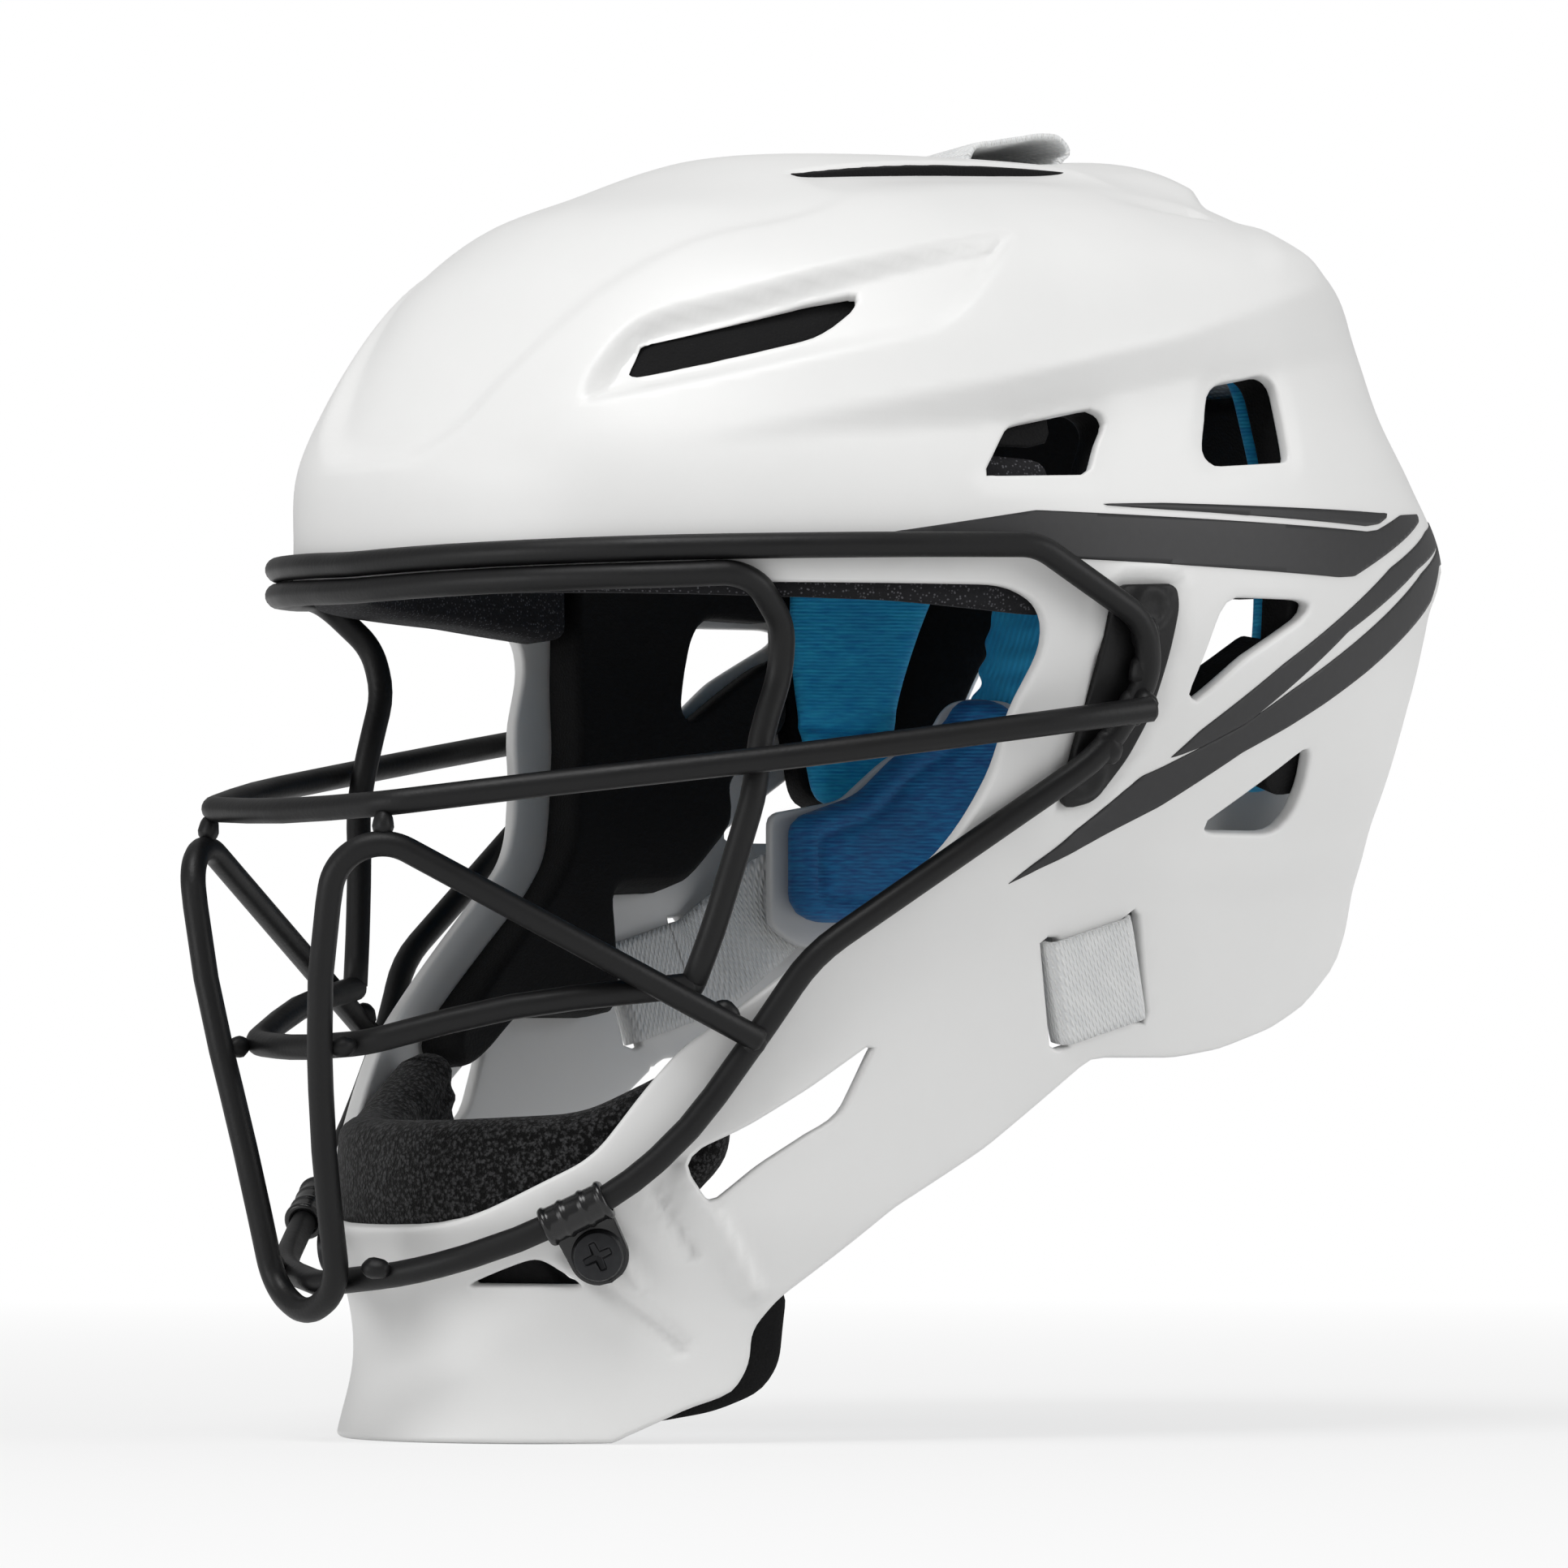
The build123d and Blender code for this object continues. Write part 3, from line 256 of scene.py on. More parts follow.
def trimmed(points, faces, keep, fields):
    """Part of a triangle mesh where keep is above zero. A triangle that the edge crosses is cut
    where keep, taken as straight along each side, is zero. The fields are carried along."""
    inside = keep > 0
    count = inside[faces].sum(1)

    def first(chosen, odd):
        turn = np.argmax(odd[chosen], 1)[:, None]
        return chosen[np.arange(len(chosen))[:, None], (turn + np.arange(3)) % 3]

    one, two = first(faces[count == 1], inside), first(faces[count == 2], ~inside)
    sides = np.sort(np.concatenate([one[:, [0, 1]], one[:, [0, 2]], two[:, [0, 1]], two[:, [0, 2]]]), 1)
    sides, place = np.unique(sides, axis=0, return_inverse=True)
    share = (keep[sides[:, 0]] / (keep[sides[:, 0]] - keep[sides[:, 1]]))[:, None]
    cut = len(points) + place.reshape(-1)
    n, m = len(one), len(two)
    one_a, one_b, two_a, two_b = cut[:n], cut[n:2 * n], cut[2 * n:2 * n + m], cut[2 * n + m:]
    kept = np.concatenate([
        faces[count == 3], np.stack([one[:, 0], one_a, one_b], 1),
        np.stack([two_a, two[:, 1], two[:, 2]], 1), np.stack([two_a, two[:, 2], two_b], 1)])
    grown = [np.concatenate([f, f[sides[:, 0]] * (1 - share) + f[sides[:, 1]] * share])
             for f in (points, *fields)]
    _, where, merged = np.unique(np.round(grown[0], 3), axis=0, return_index=True, return_inverse=True)
    kept = merged.reshape(-1)[kept]
    kept = kept[(kept[:, 0] != kept[:, 1]) & (kept[:, 1] != kept[:, 2]) & (kept[:, 0] != kept[:, 2])]
    used, faces = np.unique(kept, return_inverse=True)
    return [f[where[used]] for f in grown], faces.reshape(-1, 3)


def skin(surface, around, along, keep, rim, outset=0.0, relief=None, closed=True):
    """Grid on a surface, moved out by the outset and the relief, and trimmed to where keep is more
    than the rim. Returns its points, base points, outward directions, edge directions and faces."""
    u, v = np.meshgrid(around, along)
    base = surface(u, v)
    out = facing(surface, u, v)
    base = base + out * outset
    points = base if relief is None else base + out * relief(base)[..., None]
    depth = keep(base) - rim

    def slope(field, axis):
        if axis == 1 and closed:
            return (np.roll(field, -1, 1) - np.roll(field, 1, 1)) / 2
        return np.gradient(field, axis=axis)

    a, b = slope(base, 1), slope(base, 0)
    area = np.maximum((out * np.cross(a, b)).sum(-1), 1e-3)[..., None]
    inward = (slope(depth, 1)[..., None] * np.cross(b, out)
              + slope(depth, 0)[..., None] * np.cross(out, a)) / area
    steep = np.maximum((inward**2).sum(-1, keepdims=True), 0.2)
    cell = np.sqrt(area[..., 0])
    snap = np.abs(depth) < 0.3 * cell * np.sqrt(steep[..., 0])
    shift = np.where(snap[..., None], -depth[..., None] * inward / steep, 0)
    points, base = points + shift, base + shift
    depth = np.where(snap, 1e-7, depth)
    flat = [f.reshape(-1, 3) for f in (points, base, out, inward)]
    faces = grid_faces(*u.shape, closed)
    (points, base, out, inward), faces = trimmed(flat[0], faces, depth.ravel(), flat[1:])
    return points, base, unit(out), unit(inward), faces


def walled(points, base, out, inward, faces, thickness, profile):
    """Closed body from a trimmed skin: the skin, a copy of it set back by the thickness, and between
    them a rim whose profile gives, step by step, its reach past the edge and its share of the depth."""
    back = base - out * np.reshape(thickness, (-1, 1))
    edges = np.concatenate([faces[:, [0, 1]], faces[:, [1, 2]], faces[:, [2, 0]]])
    forward = edges[:, 0].astype(np.int64) * len(points) + edges[:, 1]
    reverse = edges[:, 1].astype(np.int64) * len(points) + edges[:, 0]
    open_edges = edges[~np.isin(forward, reverse)]
    ring, spots = np.unique(open_edges, return_inverse=True)
    spots = spots.reshape(-1, 2)
    n = len(points)
    rings, stack = [ring], [points, back]
    for k, (reach, depth) in enumerate(profile):
        stack.append(points[ring] * (1 - depth) + back[ring] * depth - inward[ring] * reach)
        rings.append(2 * n + k * len(ring) + np.arange(len(ring)))
    rings.append(ring + n)
    strips = np.concatenate([
        np.stack([near[spots[:, 1]], near[spots[:, 0]], far[spots[:, 0]], far[spots[:, 1]]], -1)
        for near, far in zip(rings, rings[1:])])
    quads = np.concatenate([strips[:, [0, 1, 2]], strips[:, [0, 2, 3]]])
    return np.concatenate(stack), np.concatenate([faces, faces[:, ::-1] + n, quads])


def rounded_edge(radius, thickness):
    """Profile of a wall whose two corners are rounded: a quarter circle at each, in three steps."""
    first = [(radius * math.sin(a), radius * (1 - math.cos(a)) / thickness) for a in np.radians((30, 60, 90))]
    return first + [(reach, 1 - depth) for reach, depth in reversed(first)]


def make_piece(name, points, faces, finish, body, slot, replaces=(), uv=None, marks=None):
    """A smooth mesh object in metres, with its finish, its body and the nodes that it stands for."""
    mesh = bpy.data.meshes.new(name)
    mesh.from_pydata((np.asarray(points, float) * MM).tolist(), [], np.asarray(faces).tolist())
    mesh.polygons.foreach_set("use_smooth", np.ones(len(mesh.polygons), bool))
    if uv is not None:
        corners = np.empty(len(mesh.loops), np.int32)
        mesh.loops.foreach_get("vertex_index", corners)
        layer = mesh.uv_layers.new(name="lay")
        layer.data.foreach_set("uv", (np.asarray(uv, float) * MM)[corners].ravel())
    for mark, values in (marks or {}).items():
        mesh.attributes.new(mark, "FLOAT", "POINT").data.foreach_set("value", np.asarray(values, float))
    mesh.materials.append(finish)
    piece = bpy.data.objects.new(name, mesh)
    scene.collection.objects.link(piece)
    if body:
        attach(piece, body)
    if replaces:
        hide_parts(*replaces)
    return piece


def new_finish(name):
    """An empty node material, and its tree and main shader."""
    finish = bpy.data.materials.new(name)
    finish.use_nodes = True
    tree = finish.node_tree
    tree.nodes.clear()
    shader = add_node(tree, "BsdfPrincipled")
    add_node(tree, "OutputMaterial", {"Surface": shader.outputs[0]})
    return finish, tree, shader


def dress(tree, shader, **values):
    """Sets inputs of a shader, whose names are given with underscores: a socket is linked, and a
    number is set."""
    for name, value in values.items():
        socket = shader.inputs[name.replace("_", " ")]
        if isinstance(value, bpy.types.NodeSocket):
            tree.links.new(value, socket)
        else:
            socket.default_value = value


def mottled(name, colours, cloud, roughness, grain=None):
    """A finish whose colour, and roughness when it is a pair, drift between two values with a noise
    (cloud: scale and detail), and whose surface has a fine grain: scale, detail, strength, depth."""
    finish, tree, shader = new_finish(name)
    place = add_node(tree, "TexCoord").outputs["Object"]
    drift = add_node(tree, "TexNoise", {"Vector": place, "Scale": cloud[0], "Detail": cloud[1]}).outputs[0]
    tone = add_node(tree, "Mix", {0: drift, 6: linear(colours[0]), 7: linear(colours[1])}, data_type="RGBA")
    if isinstance(roughness, tuple):
        dull = add_node(tree, "MapRange", {0: drift, 1: 0.3, 2: 0.7, 3: roughness[0], 4: roughness[1]})
        roughness = dull.outputs[0]
    dress(tree, shader, Base_Color=tone.outputs[2], Roughness=roughness)
    if grain:
        scale, detail, strength, depth = grain
        fine = add_node(tree, "TexNoise", {"Vector": place, "Scale": scale, "Detail": detail})
        bump = add_node(tree, "Bump", {"Height": fine.outputs[0], "Strength": strength, "Distance": depth})
        dress(tree, shader, Normal=bump.outputs[0])
    return finish, shader


def make_pair(name, body, finish, slot, node):
    """A piece on the left and its mirror image on the right."""
    for hand, sided in (("left", body), ("right", mirrored(*body))):
        piece = make_piece(name + "_" + hand, *sided, finish, "helmet", slot, [node + "_" + hand])


def joined(bodies):
    """Several bodies as one list of points and one of faces."""
    starts = np.append(0, np.cumsum([len(points) for points, _ in bodies]))[:-1]
    return (np.concatenate([points for points, _ in bodies]),
            np.concatenate([faces + start for (_, faces), start in zip(bodies, starts)]))


def mirrored(points, faces):
    """The same body on the other side of the helmet."""
    return points * (-1, 1, 1), faces[:, ::-1]


face_opening = [
    (-190, 20.8), (-40, 20.5), (-32, 17), (-29, 12), (-29, 5), (-35, -9), (-37, -23), (-41, -34),
    (-46, -42), (-100, -86), (-102, -88), (-108, -96), (-118, -112), (-127, -118), (-141, -129),
    (-190, -129)]
lower_edge = [
    (190, 28), (118, 28), (104, 18), (99, 8), (93, -6), (88, -22), (82, -41), (80, -59), (77, -67),
    (67, -76.5), (56, -82), (39, -87), (25, -89), (0, -89), (-28, -110), (-51, -124), (-76, -145),
    (-81, -152), (-81, -160), (-84, -166), (-88, -168), (-94, -170), (-110, -178), (-110, -200), (190, -200)]
front_window = [(-44, 46), (-36, 58), (-12, 63), (-9, 60), (-13, 54), (-16, 47)]
rear_window = [(22, 67), (26, 70), (43, 73), (47, 71), (46, 53), (45, 52), (20, 50), (17, 53)]
ear_window = [(24, 19), (46, 19), (49, 18), (47, 15), (29, 5), (15, -6), (13, -4), (19, 13), (21, 17)]
nape_window = [(26, -36), (25, -34), (53, -16), (55, -16), (55, -24), (53, -31), (49, -35), (45, -36)]
jaw_window = [
    (-58, -85), (-65, -101), (-68, -104), (-72, -106), (-84, -114), (-94, -123), (-99, -115),
    (-99, -113), (-97, -110), (-87, -105), (-73, -96)]
brow_vent = [(-113, 70), (-111, 73), (-108, 78), (-74, 87), (-63, 89), (-66, 85), (-73, 80), (-77, 78)]
strap_slots = [
    [(-17.6, -60.9), (-12.6, -60.9), (-7, -86.9), (-12, -86.9)],
    [(4.4, -54.3), (9.4, -54.3), (15.5, -80.5), (10.5, -80.5)]]
crown_slots = [
    [(-20.3, place - 2.5), (20.3, place - 2.5), (20.3, place + 2.5), (-20.3, place + 2.5)]
    for place in (17.9, 40.8)]
chin_vent = [(26, -142), (42, -136), (44, -136), (49, -142)]
scoop = [
    (-121, 64), (-118, 70), (-110, 80), (-103, 84), (-71, 92), (-27, 101), (-22, 101), (-29, 95),
    (-43, 82), (-50, 78), (-78, 73), (-119, 64)]
plate_recess = [
    (-12, 22.5), (6.5, 23), (8, 17), (6, 6), (2.5, -10), (-1.5, -19), (-9, -30.5), (-17.5, -32.5),
    (-20.5, -29), (-18, -11), (-14, 12)]
stripes = [
    [(-72, 31.5), (-32, 38), (71, 36.2), (76, 36.8), (89, 41), (102, 42), (101, 40), (65, 25.2),
     (59, 24.8), (-26, 27)],
    [(-23, 39.6), (3, 40.6), (84, 41), (77, 38.2), (71, 37.4)],
    [(10, -19), (18, -12), (41, 4), (81, 28), (105, 38), (135, 45), (135, 42), (95, 28), (63, 12),
     (42, -3), (32, -10), (19, -16)],
    [(-29, -49), (3, -23), (8, -21), (30, -11), (45, -2), (98, 27.5), (114, 34), (135, 41), (135, 33),
     (114, 30), (104, 21), (99, 18), (72, 3), (57, -5), (45, -11), (32, -17), (10, -30), (-11, -40)]]
ridge_top = np.array([(-112, 52), (-81, 59), (-41, 66), (11, 78), (69, 93), (120, 104)], float)
ridge_foot = np.array([(-112, 52), (-82, 55), (-44, 58), (-9, 65), (23, 71), (53, 75), (120, 84)], float)
brow_panel = [
    (-185, 49), (-143, 50), (-141, 54), (-137, 59), (-130, 69), (-118, 82), (-105, 93), (-87, 102),
    (-63, 107), (-40, 117), (-10, 140), (-185, 140)]
chin_ribs = [([(-116, -128), (-106, -142)], 1.8, 2.3), ([(-105, -120), (-96, -134)], -2.2, 2.2),
             ([(-120, -134), (-96, -156)], -2.2, 3.0), ([(-100, -115), (-82, -143)], 2.4, 3.4)]


def hood_place(x, y):
    """Bow of the hoods beside the crown strap, a half ellipse along the helmet, and the distance past
    the hood's edge."""
    bow = np.sqrt(np.clip(1 - ((y + 10) / 41) ** 2, 0, 1))
    return bow, np.abs(x) - 36 - 6.5 * bow


def shell_keep(p):
    """Distance inside the shell's edges: the least of the distances outside each hole and cut."""
    x, y, z = np.moveaxis(p, -1, 0)
    depth = np.minimum(14.0, z + 178)
    for outline, corner in ((face_opening, 5.0), (lower_edge, 3.0), (front_window, 2.2), (rear_window, 2.6),
                            (ear_window, 2.2), (nape_window, 2.2), (jaw_window, 3.0), (brow_vent, 1.8),
                            (strap_slots[0], 1.2), (strap_slots[1], 1.2)):
        depth = np.minimum(depth, -side_depth(p, outline, corner))
    for outline in crown_slots:
        depth = np.where(z > 90, np.minimum(depth, -depth_in(x, y, outline, 1.0)), depth)
    vents = -depth_in(np.abs(x), z, chin_vent, 1.8)
    return np.where(y < -60, np.minimum(depth, vents), depth)


def line_distance(y, z, line):
    """Distance from points of the side view to a line of straight runs."""
    best = np.full(y.shape, 1e9)
    for (y0, z0), (y1, z1) in zip(line, line[1:]):
        run = (y1 - y0) ** 2 + (z1 - z0) ** 2
        share = np.clip(((y - y0) * (y1 - y0) + (z - z0) * (z1 - z0)) / run, 0, 1)
        best = np.minimum(best, np.hypot(y - y0 - share * (y1 - y0), z - z0 - share * (z1 - z0)))
    return best


def shell_relief(p):
    """Height of the moulded forms over the head form: the shoulder above the windows, which leans out
    over a slanting band, the scoop behind the brow vent, the recess of the side plate, the sunk brow
    panel, the hoods beside the crown strap, the roof step, lip and intakes at the rear, and the ridges
    and grooves of the chin."""
    x, y, z = np.moveaxis(p, -1, 0)
    top = np.interp(y, ridge_top[:, 0], ridge_top[:, 1])
    foot = np.interp(y, ridge_foot[:, 0], ridge_foot[:, 1])
    band = np.clip((z - foot) / np.maximum(top - foot, 1.5), 0, 1)
    swell = 6.0 * smooth(y, -112, -25) * (1 - smooth(y, 50, 122))
    height = swell * band * (1 - smooth(z, 90, 118))
    inside = side_depth(p, scoop, 5.0)
    upper = smooth(z - np.interp(y, [-121, -27, -22], [62, 92, 96]), -6, 8)
    height = height - (1.4 + 2.8 * upper) * smooth(inside, -0.5, 2.3)
    recess = side_depth(p, plate_recess, 3.0)
    height = height - 1.45 * smooth(recess, -0.3, 1.3) + 0.5 * smooth(2.6 - np.abs(recess + 1.4), 0, 1.6)
    sunk = (3.4 - 2.2 * smooth(z, 62, 100)) * smooth(side_depth(p, brow_panel, 8.0), -0.8, 2.0)
    height = height - sunk * (1 - smooth(y, -75, -35))
    bow, past = hood_place(x, y)
    height = height - 3.0 * bow * smooth(past, -0.2, 1.5) * (1 - smooth(past, 6, 26)) * (z > 95)
    rear = 0.57 * np.abs(x) + 0.82 * y
    roof = smooth(y, 30, 62) * (1 - smooth(rear, 76.5, 82)) * (1 - smooth(np.abs(x), 40, 58)) * (z > 80)
    lip = smooth(rear, 88, 95) * (1 - smooth(rear, 103, 110)) * smooth(z, 92, 100)
    height = height + 2.8 * roof + 1.5 * lip
    intake = smooth(line_distance(y, z, [(22, 115.5), (51, 113)]), 2.8, 0.3) * smooth(y, 18, 45)
    height = height - 1.6 * intake * (1 - smooth(y, 50, 52.5)) * (np.abs(x) > 45)
    keel = smooth(line_distance(y, z, [(-52, -21), (-10, -43), (19, -45), (73, -42), (95, -40)]), 9, 0)
    height = height + 0.8 * keel * smooth(y, -52, -20)
    for line, rise, half in chin_ribs:
        height = height + rise * smooth(line_distance(y, z, line), half, 0.1)
    for window, corner in ((rear_window, 2.6), (front_window, 2.2)):
        height = height - 0.7 * smooth(side_depth(p, window, corner), -4.0, -1.2)
    return height


def spaced(start, end, steps):
    """Places from start to end whose spacing follows the wished step at each place."""
    fine = np.linspace(start, end, 4000)
    count = np.append(0, np.cumsum(np.diff(fine) / steps(fine[:-1])))
    return np.interp(np.linspace(0, count[-1], int(math.ceil(count[-1])) + 1), count, fine)


form_length = form_chord[-1]
shell_around = spaced(-math.pi / 2, 1.5 * math.pi,
                      lambda a: np.interp(np.sin(a), [-0.99, -0.97, -0.76, -0.72, 0.7, 0.75],
                                          [2.3, 1.75, 1.75, 2.3, 2.3, 3.7]) / 125)[:-1]
shell_along = spaced(0, form_length, lambda t: np.interp(t, [0, 14, 18, 60, 66, 200, 208, 330, 338],
                                                         [2.6, 2.6, 1.5, 1.5, 2.75, 2.75, 2.0, 2.0, 1.8]))
shell_edge = 1.1
shell_skin = skin(head_form, shell_around, shell_along, shell_keep, shell_edge, relief=shell_relief)
shell_body = walled(*shell_skin, shell_wall, rounded_edge(shell_edge, shell_wall))
# Satin polycarbonate blend: a fine spark-eroded grain breaks up the highlights
shell_plastic = mottled("moulded_polycarbonate", ("EAEAE9", "F1F1F0"), (26, 4), (0.36, 0.44),
                        (1400, 3, 0.10, 0.00012))[0]
make_piece("helmet_shell", *shell_body, shell_plastic, "helmet", "shell_plastic", ["shell"])

# Stripes: two-part ink, pad-printed on both sides of the shell, and drawn a quarter of a millimetre
# proud of it. Each is a thin patch that follows the shell's forms.
# Matte black ink: a dark grey film that takes on the grain of the plastic under it
print_ink = mottled("pad_print_ink", ("1F1F20", "272729"), (500, 3), 0.5, (500, 3, 0.1, 0.0002))[0]
print_height, print_depth = 0.25, 0.5
print_bodies = []
for stripe in stripes:
    heights = np.array(stripe)[:, 1]

    def stripe_keep(p, stripe=stripe):
        """Distance inside the stripe, and inside the shell's own edges less the rounding."""
        return np.minimum(side_depth(p, stripe, 0.6), shell_keep(p) - 1.2)

    low, high = (np.interp(z, form_rows[:, 0], form_chord) for z in (heights.min() - 3, heights.max() + 3))
    grid_around = np.linspace(-0.85, 1.5, 290)
    grid_along = np.linspace(low, high, int((high - low) / 0.9))
    print_bodies.append(walled(*skin(head_form, grid_around, grid_along, stripe_keep, 0.05, outset=0.0,
                                     relief=lambda p: shell_relief(p) + print_height, closed=False),
                               print_depth - print_height, [(0.03, 0.5)]))
left_print = joined(print_bodies)
make_piece("stripes", *joined([left_print, mirrored(*left_print)]), print_ink, "helmet", "clip_plastic")

# Cage: 6 mm carbon steel wire, bent, welded where it crosses, and powder-coated satin black.
# The points are the bends of each wire's left half.
wire_radius = 3.0
brow_bar = [(0, -148.4, 26.5), (22.8, -146.5, 27), (44.7, -140, 27.4), (65, -128.2, 27.9),
            (82.9, -111.4, 28.4), (97.8, -89.9, 28.8), (109.1, -64.2, 29.3)]
rim_bar = brow_bar + [
    (117.2, -35.3, 29.7), (119.6, -6, 12.5), (117.2, -3.2, 0), (112.2, -12.2, -17.8), (86.7, -77.8, -65.3),
    (80.3, -85.7, -80.5), (72.2, -101.7, -105.4), (63.9, -115.2, -119.6), (47.7, -133.2, -131.2),
    (28.8, -149, -138.5), (0, -157, -141.5)]
eye_bar = [(0, -148.4, 20.2), (22.8, -146.5, 20.7), (44.7, -140, 21.2), (65, -128.2, 21.7),
           (82.9, -111.4, 22.1), (92, -98.4, 22.8), (87.4, -86.4, 10.9), (84.5, -85, 0), (83.4, -90, -15.1),
           (84.5, -92.2, -27.6), (80.5, -94.3, -40.9), (75.7, -97.9, -59.6), (72.2, -100.8, -71.2)]
nose_bar = [(0, -168.2, -31.7), (38, -163.4, -30.3), (64.4, -135.4, -25.8), (90.3, -95, -20.5),
            (109.8, -53.3, -14.6), (124.4, -7.9, -8)]
mouth_bar = [(0, -163.7, -86.7), (24.1, -159.8, -85.4), (46, -133.9, -76.5), (72.2, -100.9, -72.1)]
centre_bar = [(0, -160.6, -149.2), (13.8, -160.6, -142.4), (16.7, -166.8, -110.4), (24.7, -173.5, -70.3),
              (33.9, -172.8, -32.9), (81.5, -88.9, -84.8)]


def bent(points, bend=14.0):
    """Path of a bent wire: straight runs joined by arcs. An arc is as wide as its runs allow, and at
    most the bend where the turn is sharp."""
    path = [points[0]]
    for before, at, after in zip(points, points[1:], points[2:]):
        into, away = unit(at - before), unit(after - at)
        turn = math.acos(float(np.clip(into @ away, -1, 1)))
        if turn < 0.01:
            continue
        run = 0.45 * min(np.linalg.norm(at - before), np.linalg.norm(after - at))
        length = min(run, bend * math.tan(turn / 2)) if turn > math.radians(30) else run
        radius = length / math.tan(turn / 2)
        middle = at + unit(away - into) * radius / math.cos(turn / 2)
        spoke = (at - into * length - middle) / radius
        steps = max(3, int(turn / 0.1) + 1)
        for angle in np.linspace(0, turn, steps):
            path.append(middle + radius * (spoke * math.cos(angle) + into * math.sin(angle)))
    path.append(points[-1])
    return np.array(path)


def tube(path, radii, sides=18, closed=False):
    """Round tube along a path: at each point a ring across the mean direction of its two runs, with
    the last ring's heading carried on, and rounded ends."""
    path = np.asarray(path, float)
    if closed:
        ahead = unit(np.roll(path, -1, 0) - np.roll(path, 1, 0))
    else:
        ahead = unit(np.gradient(path, axis=0))
    heading = [unit(np.cross(ahead[0], (0.3, 0.2, 1)))]
    for direction in ahead[1:]:
        last = heading[-1]
        heading.append(unit(last - direction * (last @ direction)))
    heading = np.array(heading)
    cross = np.cross(ahead, heading)
    angle = np.linspace(0, 2 * math.pi, sides, endpoint=False)
    radii = np.broadcast_to(radii, len(path))
    ring = heading[:, None] * np.cos(angle)[None, :, None] + cross[:, None] * np.sin(angle)[None, :, None]
    points = path[:, None] + ring * radii[:, None, None]
    count = len(path)
    j = np.arange(sides)
    faces = grid_faces(count + closed, sides, True) % (count * sides)
    points = points.reshape(-1, 3)
    if not closed:
        for end, sign in ((0, -1), (count - 1, 1)):
            ring_at = end * sides + j
            tip = len(points)
            dome = path[end] + ring[end] * radii[end] * 0.72 + ahead[end] * sign * radii[end] * 0.28
            points = np.concatenate([points, dome, [path[end] + ahead[end] * sign * radii[end] * 0.4]])
            rim = np.stack([ring_at, (ring_at - end * sides + 1) % sides + end * sides,
                            tip + (j + 1) % sides, tip + j], -1)
            point = np.stack([tip + j, tip + (j + 1) % sides, np.full(sides, tip + sides)], -1)
            cap = np.concatenate([rim[:, [0, 1, 2]], rim[:, [0, 2, 3]], point])
            faces = np.concatenate([faces, cap if sign > 0 else cap[:, ::-1]])
    return points, faces


def whole(half):
    """Both halves of a wire's bends, from the right end to the left end."""
    half = np.array(half, float)
    return np.concatenate([half[:0:-1] * (-1, 1, 1), half])


# Satin powder coat: near black, with a soft highlight that fine orange peel breaks up
powder_coat, shader = mottled("powder_coated_steel", ("0B0B0C", "131314"), (60, 3), (0.42, 0.52),
                              (900, 2, 0.22, 0.0003))
shader.inputs["Specular IOR Level"].default_value = 0.3

rim_half = np.array(rim_bar, float)
lower_rim = np.concatenate([rim_half, (rim_half[::-1] * (-1, 1, 1))[1:-1]])
rim_start = (lower_rim[0] + lower_rim[-1]) / 2
rim_path = bent(np.concatenate([[rim_start], lower_rim, [rim_start]]))[:-1]
mouth_path, centre_path = bent(whole(mouth_bar)), bent(whole(centre_bar))
for name, path, node in (("cage_rim", rim_path, "perimeter_bar"),
                         ("cage_eye_port", bent(whole(eye_bar)), "eye_port_bar"),
                         ("cage_nose", bent(whole(nose_bar)), "nose_bar"),
                         ("cage_mouth", mouth_path, "mouth_bar"), ("cage_centre", centre_path, "centre_bar")):
    points, faces = tube(path, wire_radius, closed=path is rim_path)
    make_piece(name, points, faces, powder_coat, "helmet", "cage_wire", [node])


def bead(place, size, along, seed, rings=10, sides=14):
    """Weld bead: a sphere stretched along a direction, with a few soft ripples across it."""
    lift = np.linspace(-math.pi / 2, math.pi / 2, rings)[:, None]
    turn = np.linspace(0, 2 * math.pi, sides, endpoint=False)[None, :]
    ripple = 1 + 0.07 * np.sin(3 * turn + seed) * np.cos(lift) + 0.05 * np.sin(5 * lift + seed * 2)
    local = np.stack([np.sin(lift) * np.ones_like(turn) * 1.35, np.cos(lift) * np.cos(turn) * ripple,
                      np.cos(lift) * np.sin(turn) * ripple], -1).reshape(-1, 3) * size
    ahead = unit(np.array(along, float))
    side = unit(np.cross(ahead, (0.2, 0.3, 1)))
    points = np.array(place) + local @ np.stack([ahead, side, np.cross(ahead, side)])
    return points, grid_faces(rings, sides, True, True)


def weld(place, path, size, seed):
    """Bead between a place on one wire and the nearest point of another wire's path."""
    path = path[path[:, 0] > -1]
    near = path[np.argmin(np.linalg.norm(path - place, axis=1))]
    return bead((near + place) / 2, size, near - place + 0.01, seed)


beads = [weld(np.array(place), path, size, i) for i, (place, path, size) in enumerate((
    (centre_bar[-1], rim_path, 2.6), (eye_bar[-1], mouth_path, 2.6), (nose_bar[-1], rim_path, 2.8),
    ((37.5, -163.4, -30.4), centre_path, 2.5), ((24.1, -159.8, -85.4), centre_path, 2.5),
    (mouth_bar[-1], centre_path, 2.6), ((28.8, -149, -138.5), centre_path, 2.6)))]
beads += [mirrored(*one) for one in beads]
make_piece("cage_welds", *joined(beads), powder_coat, "helmet", "cage_wire")

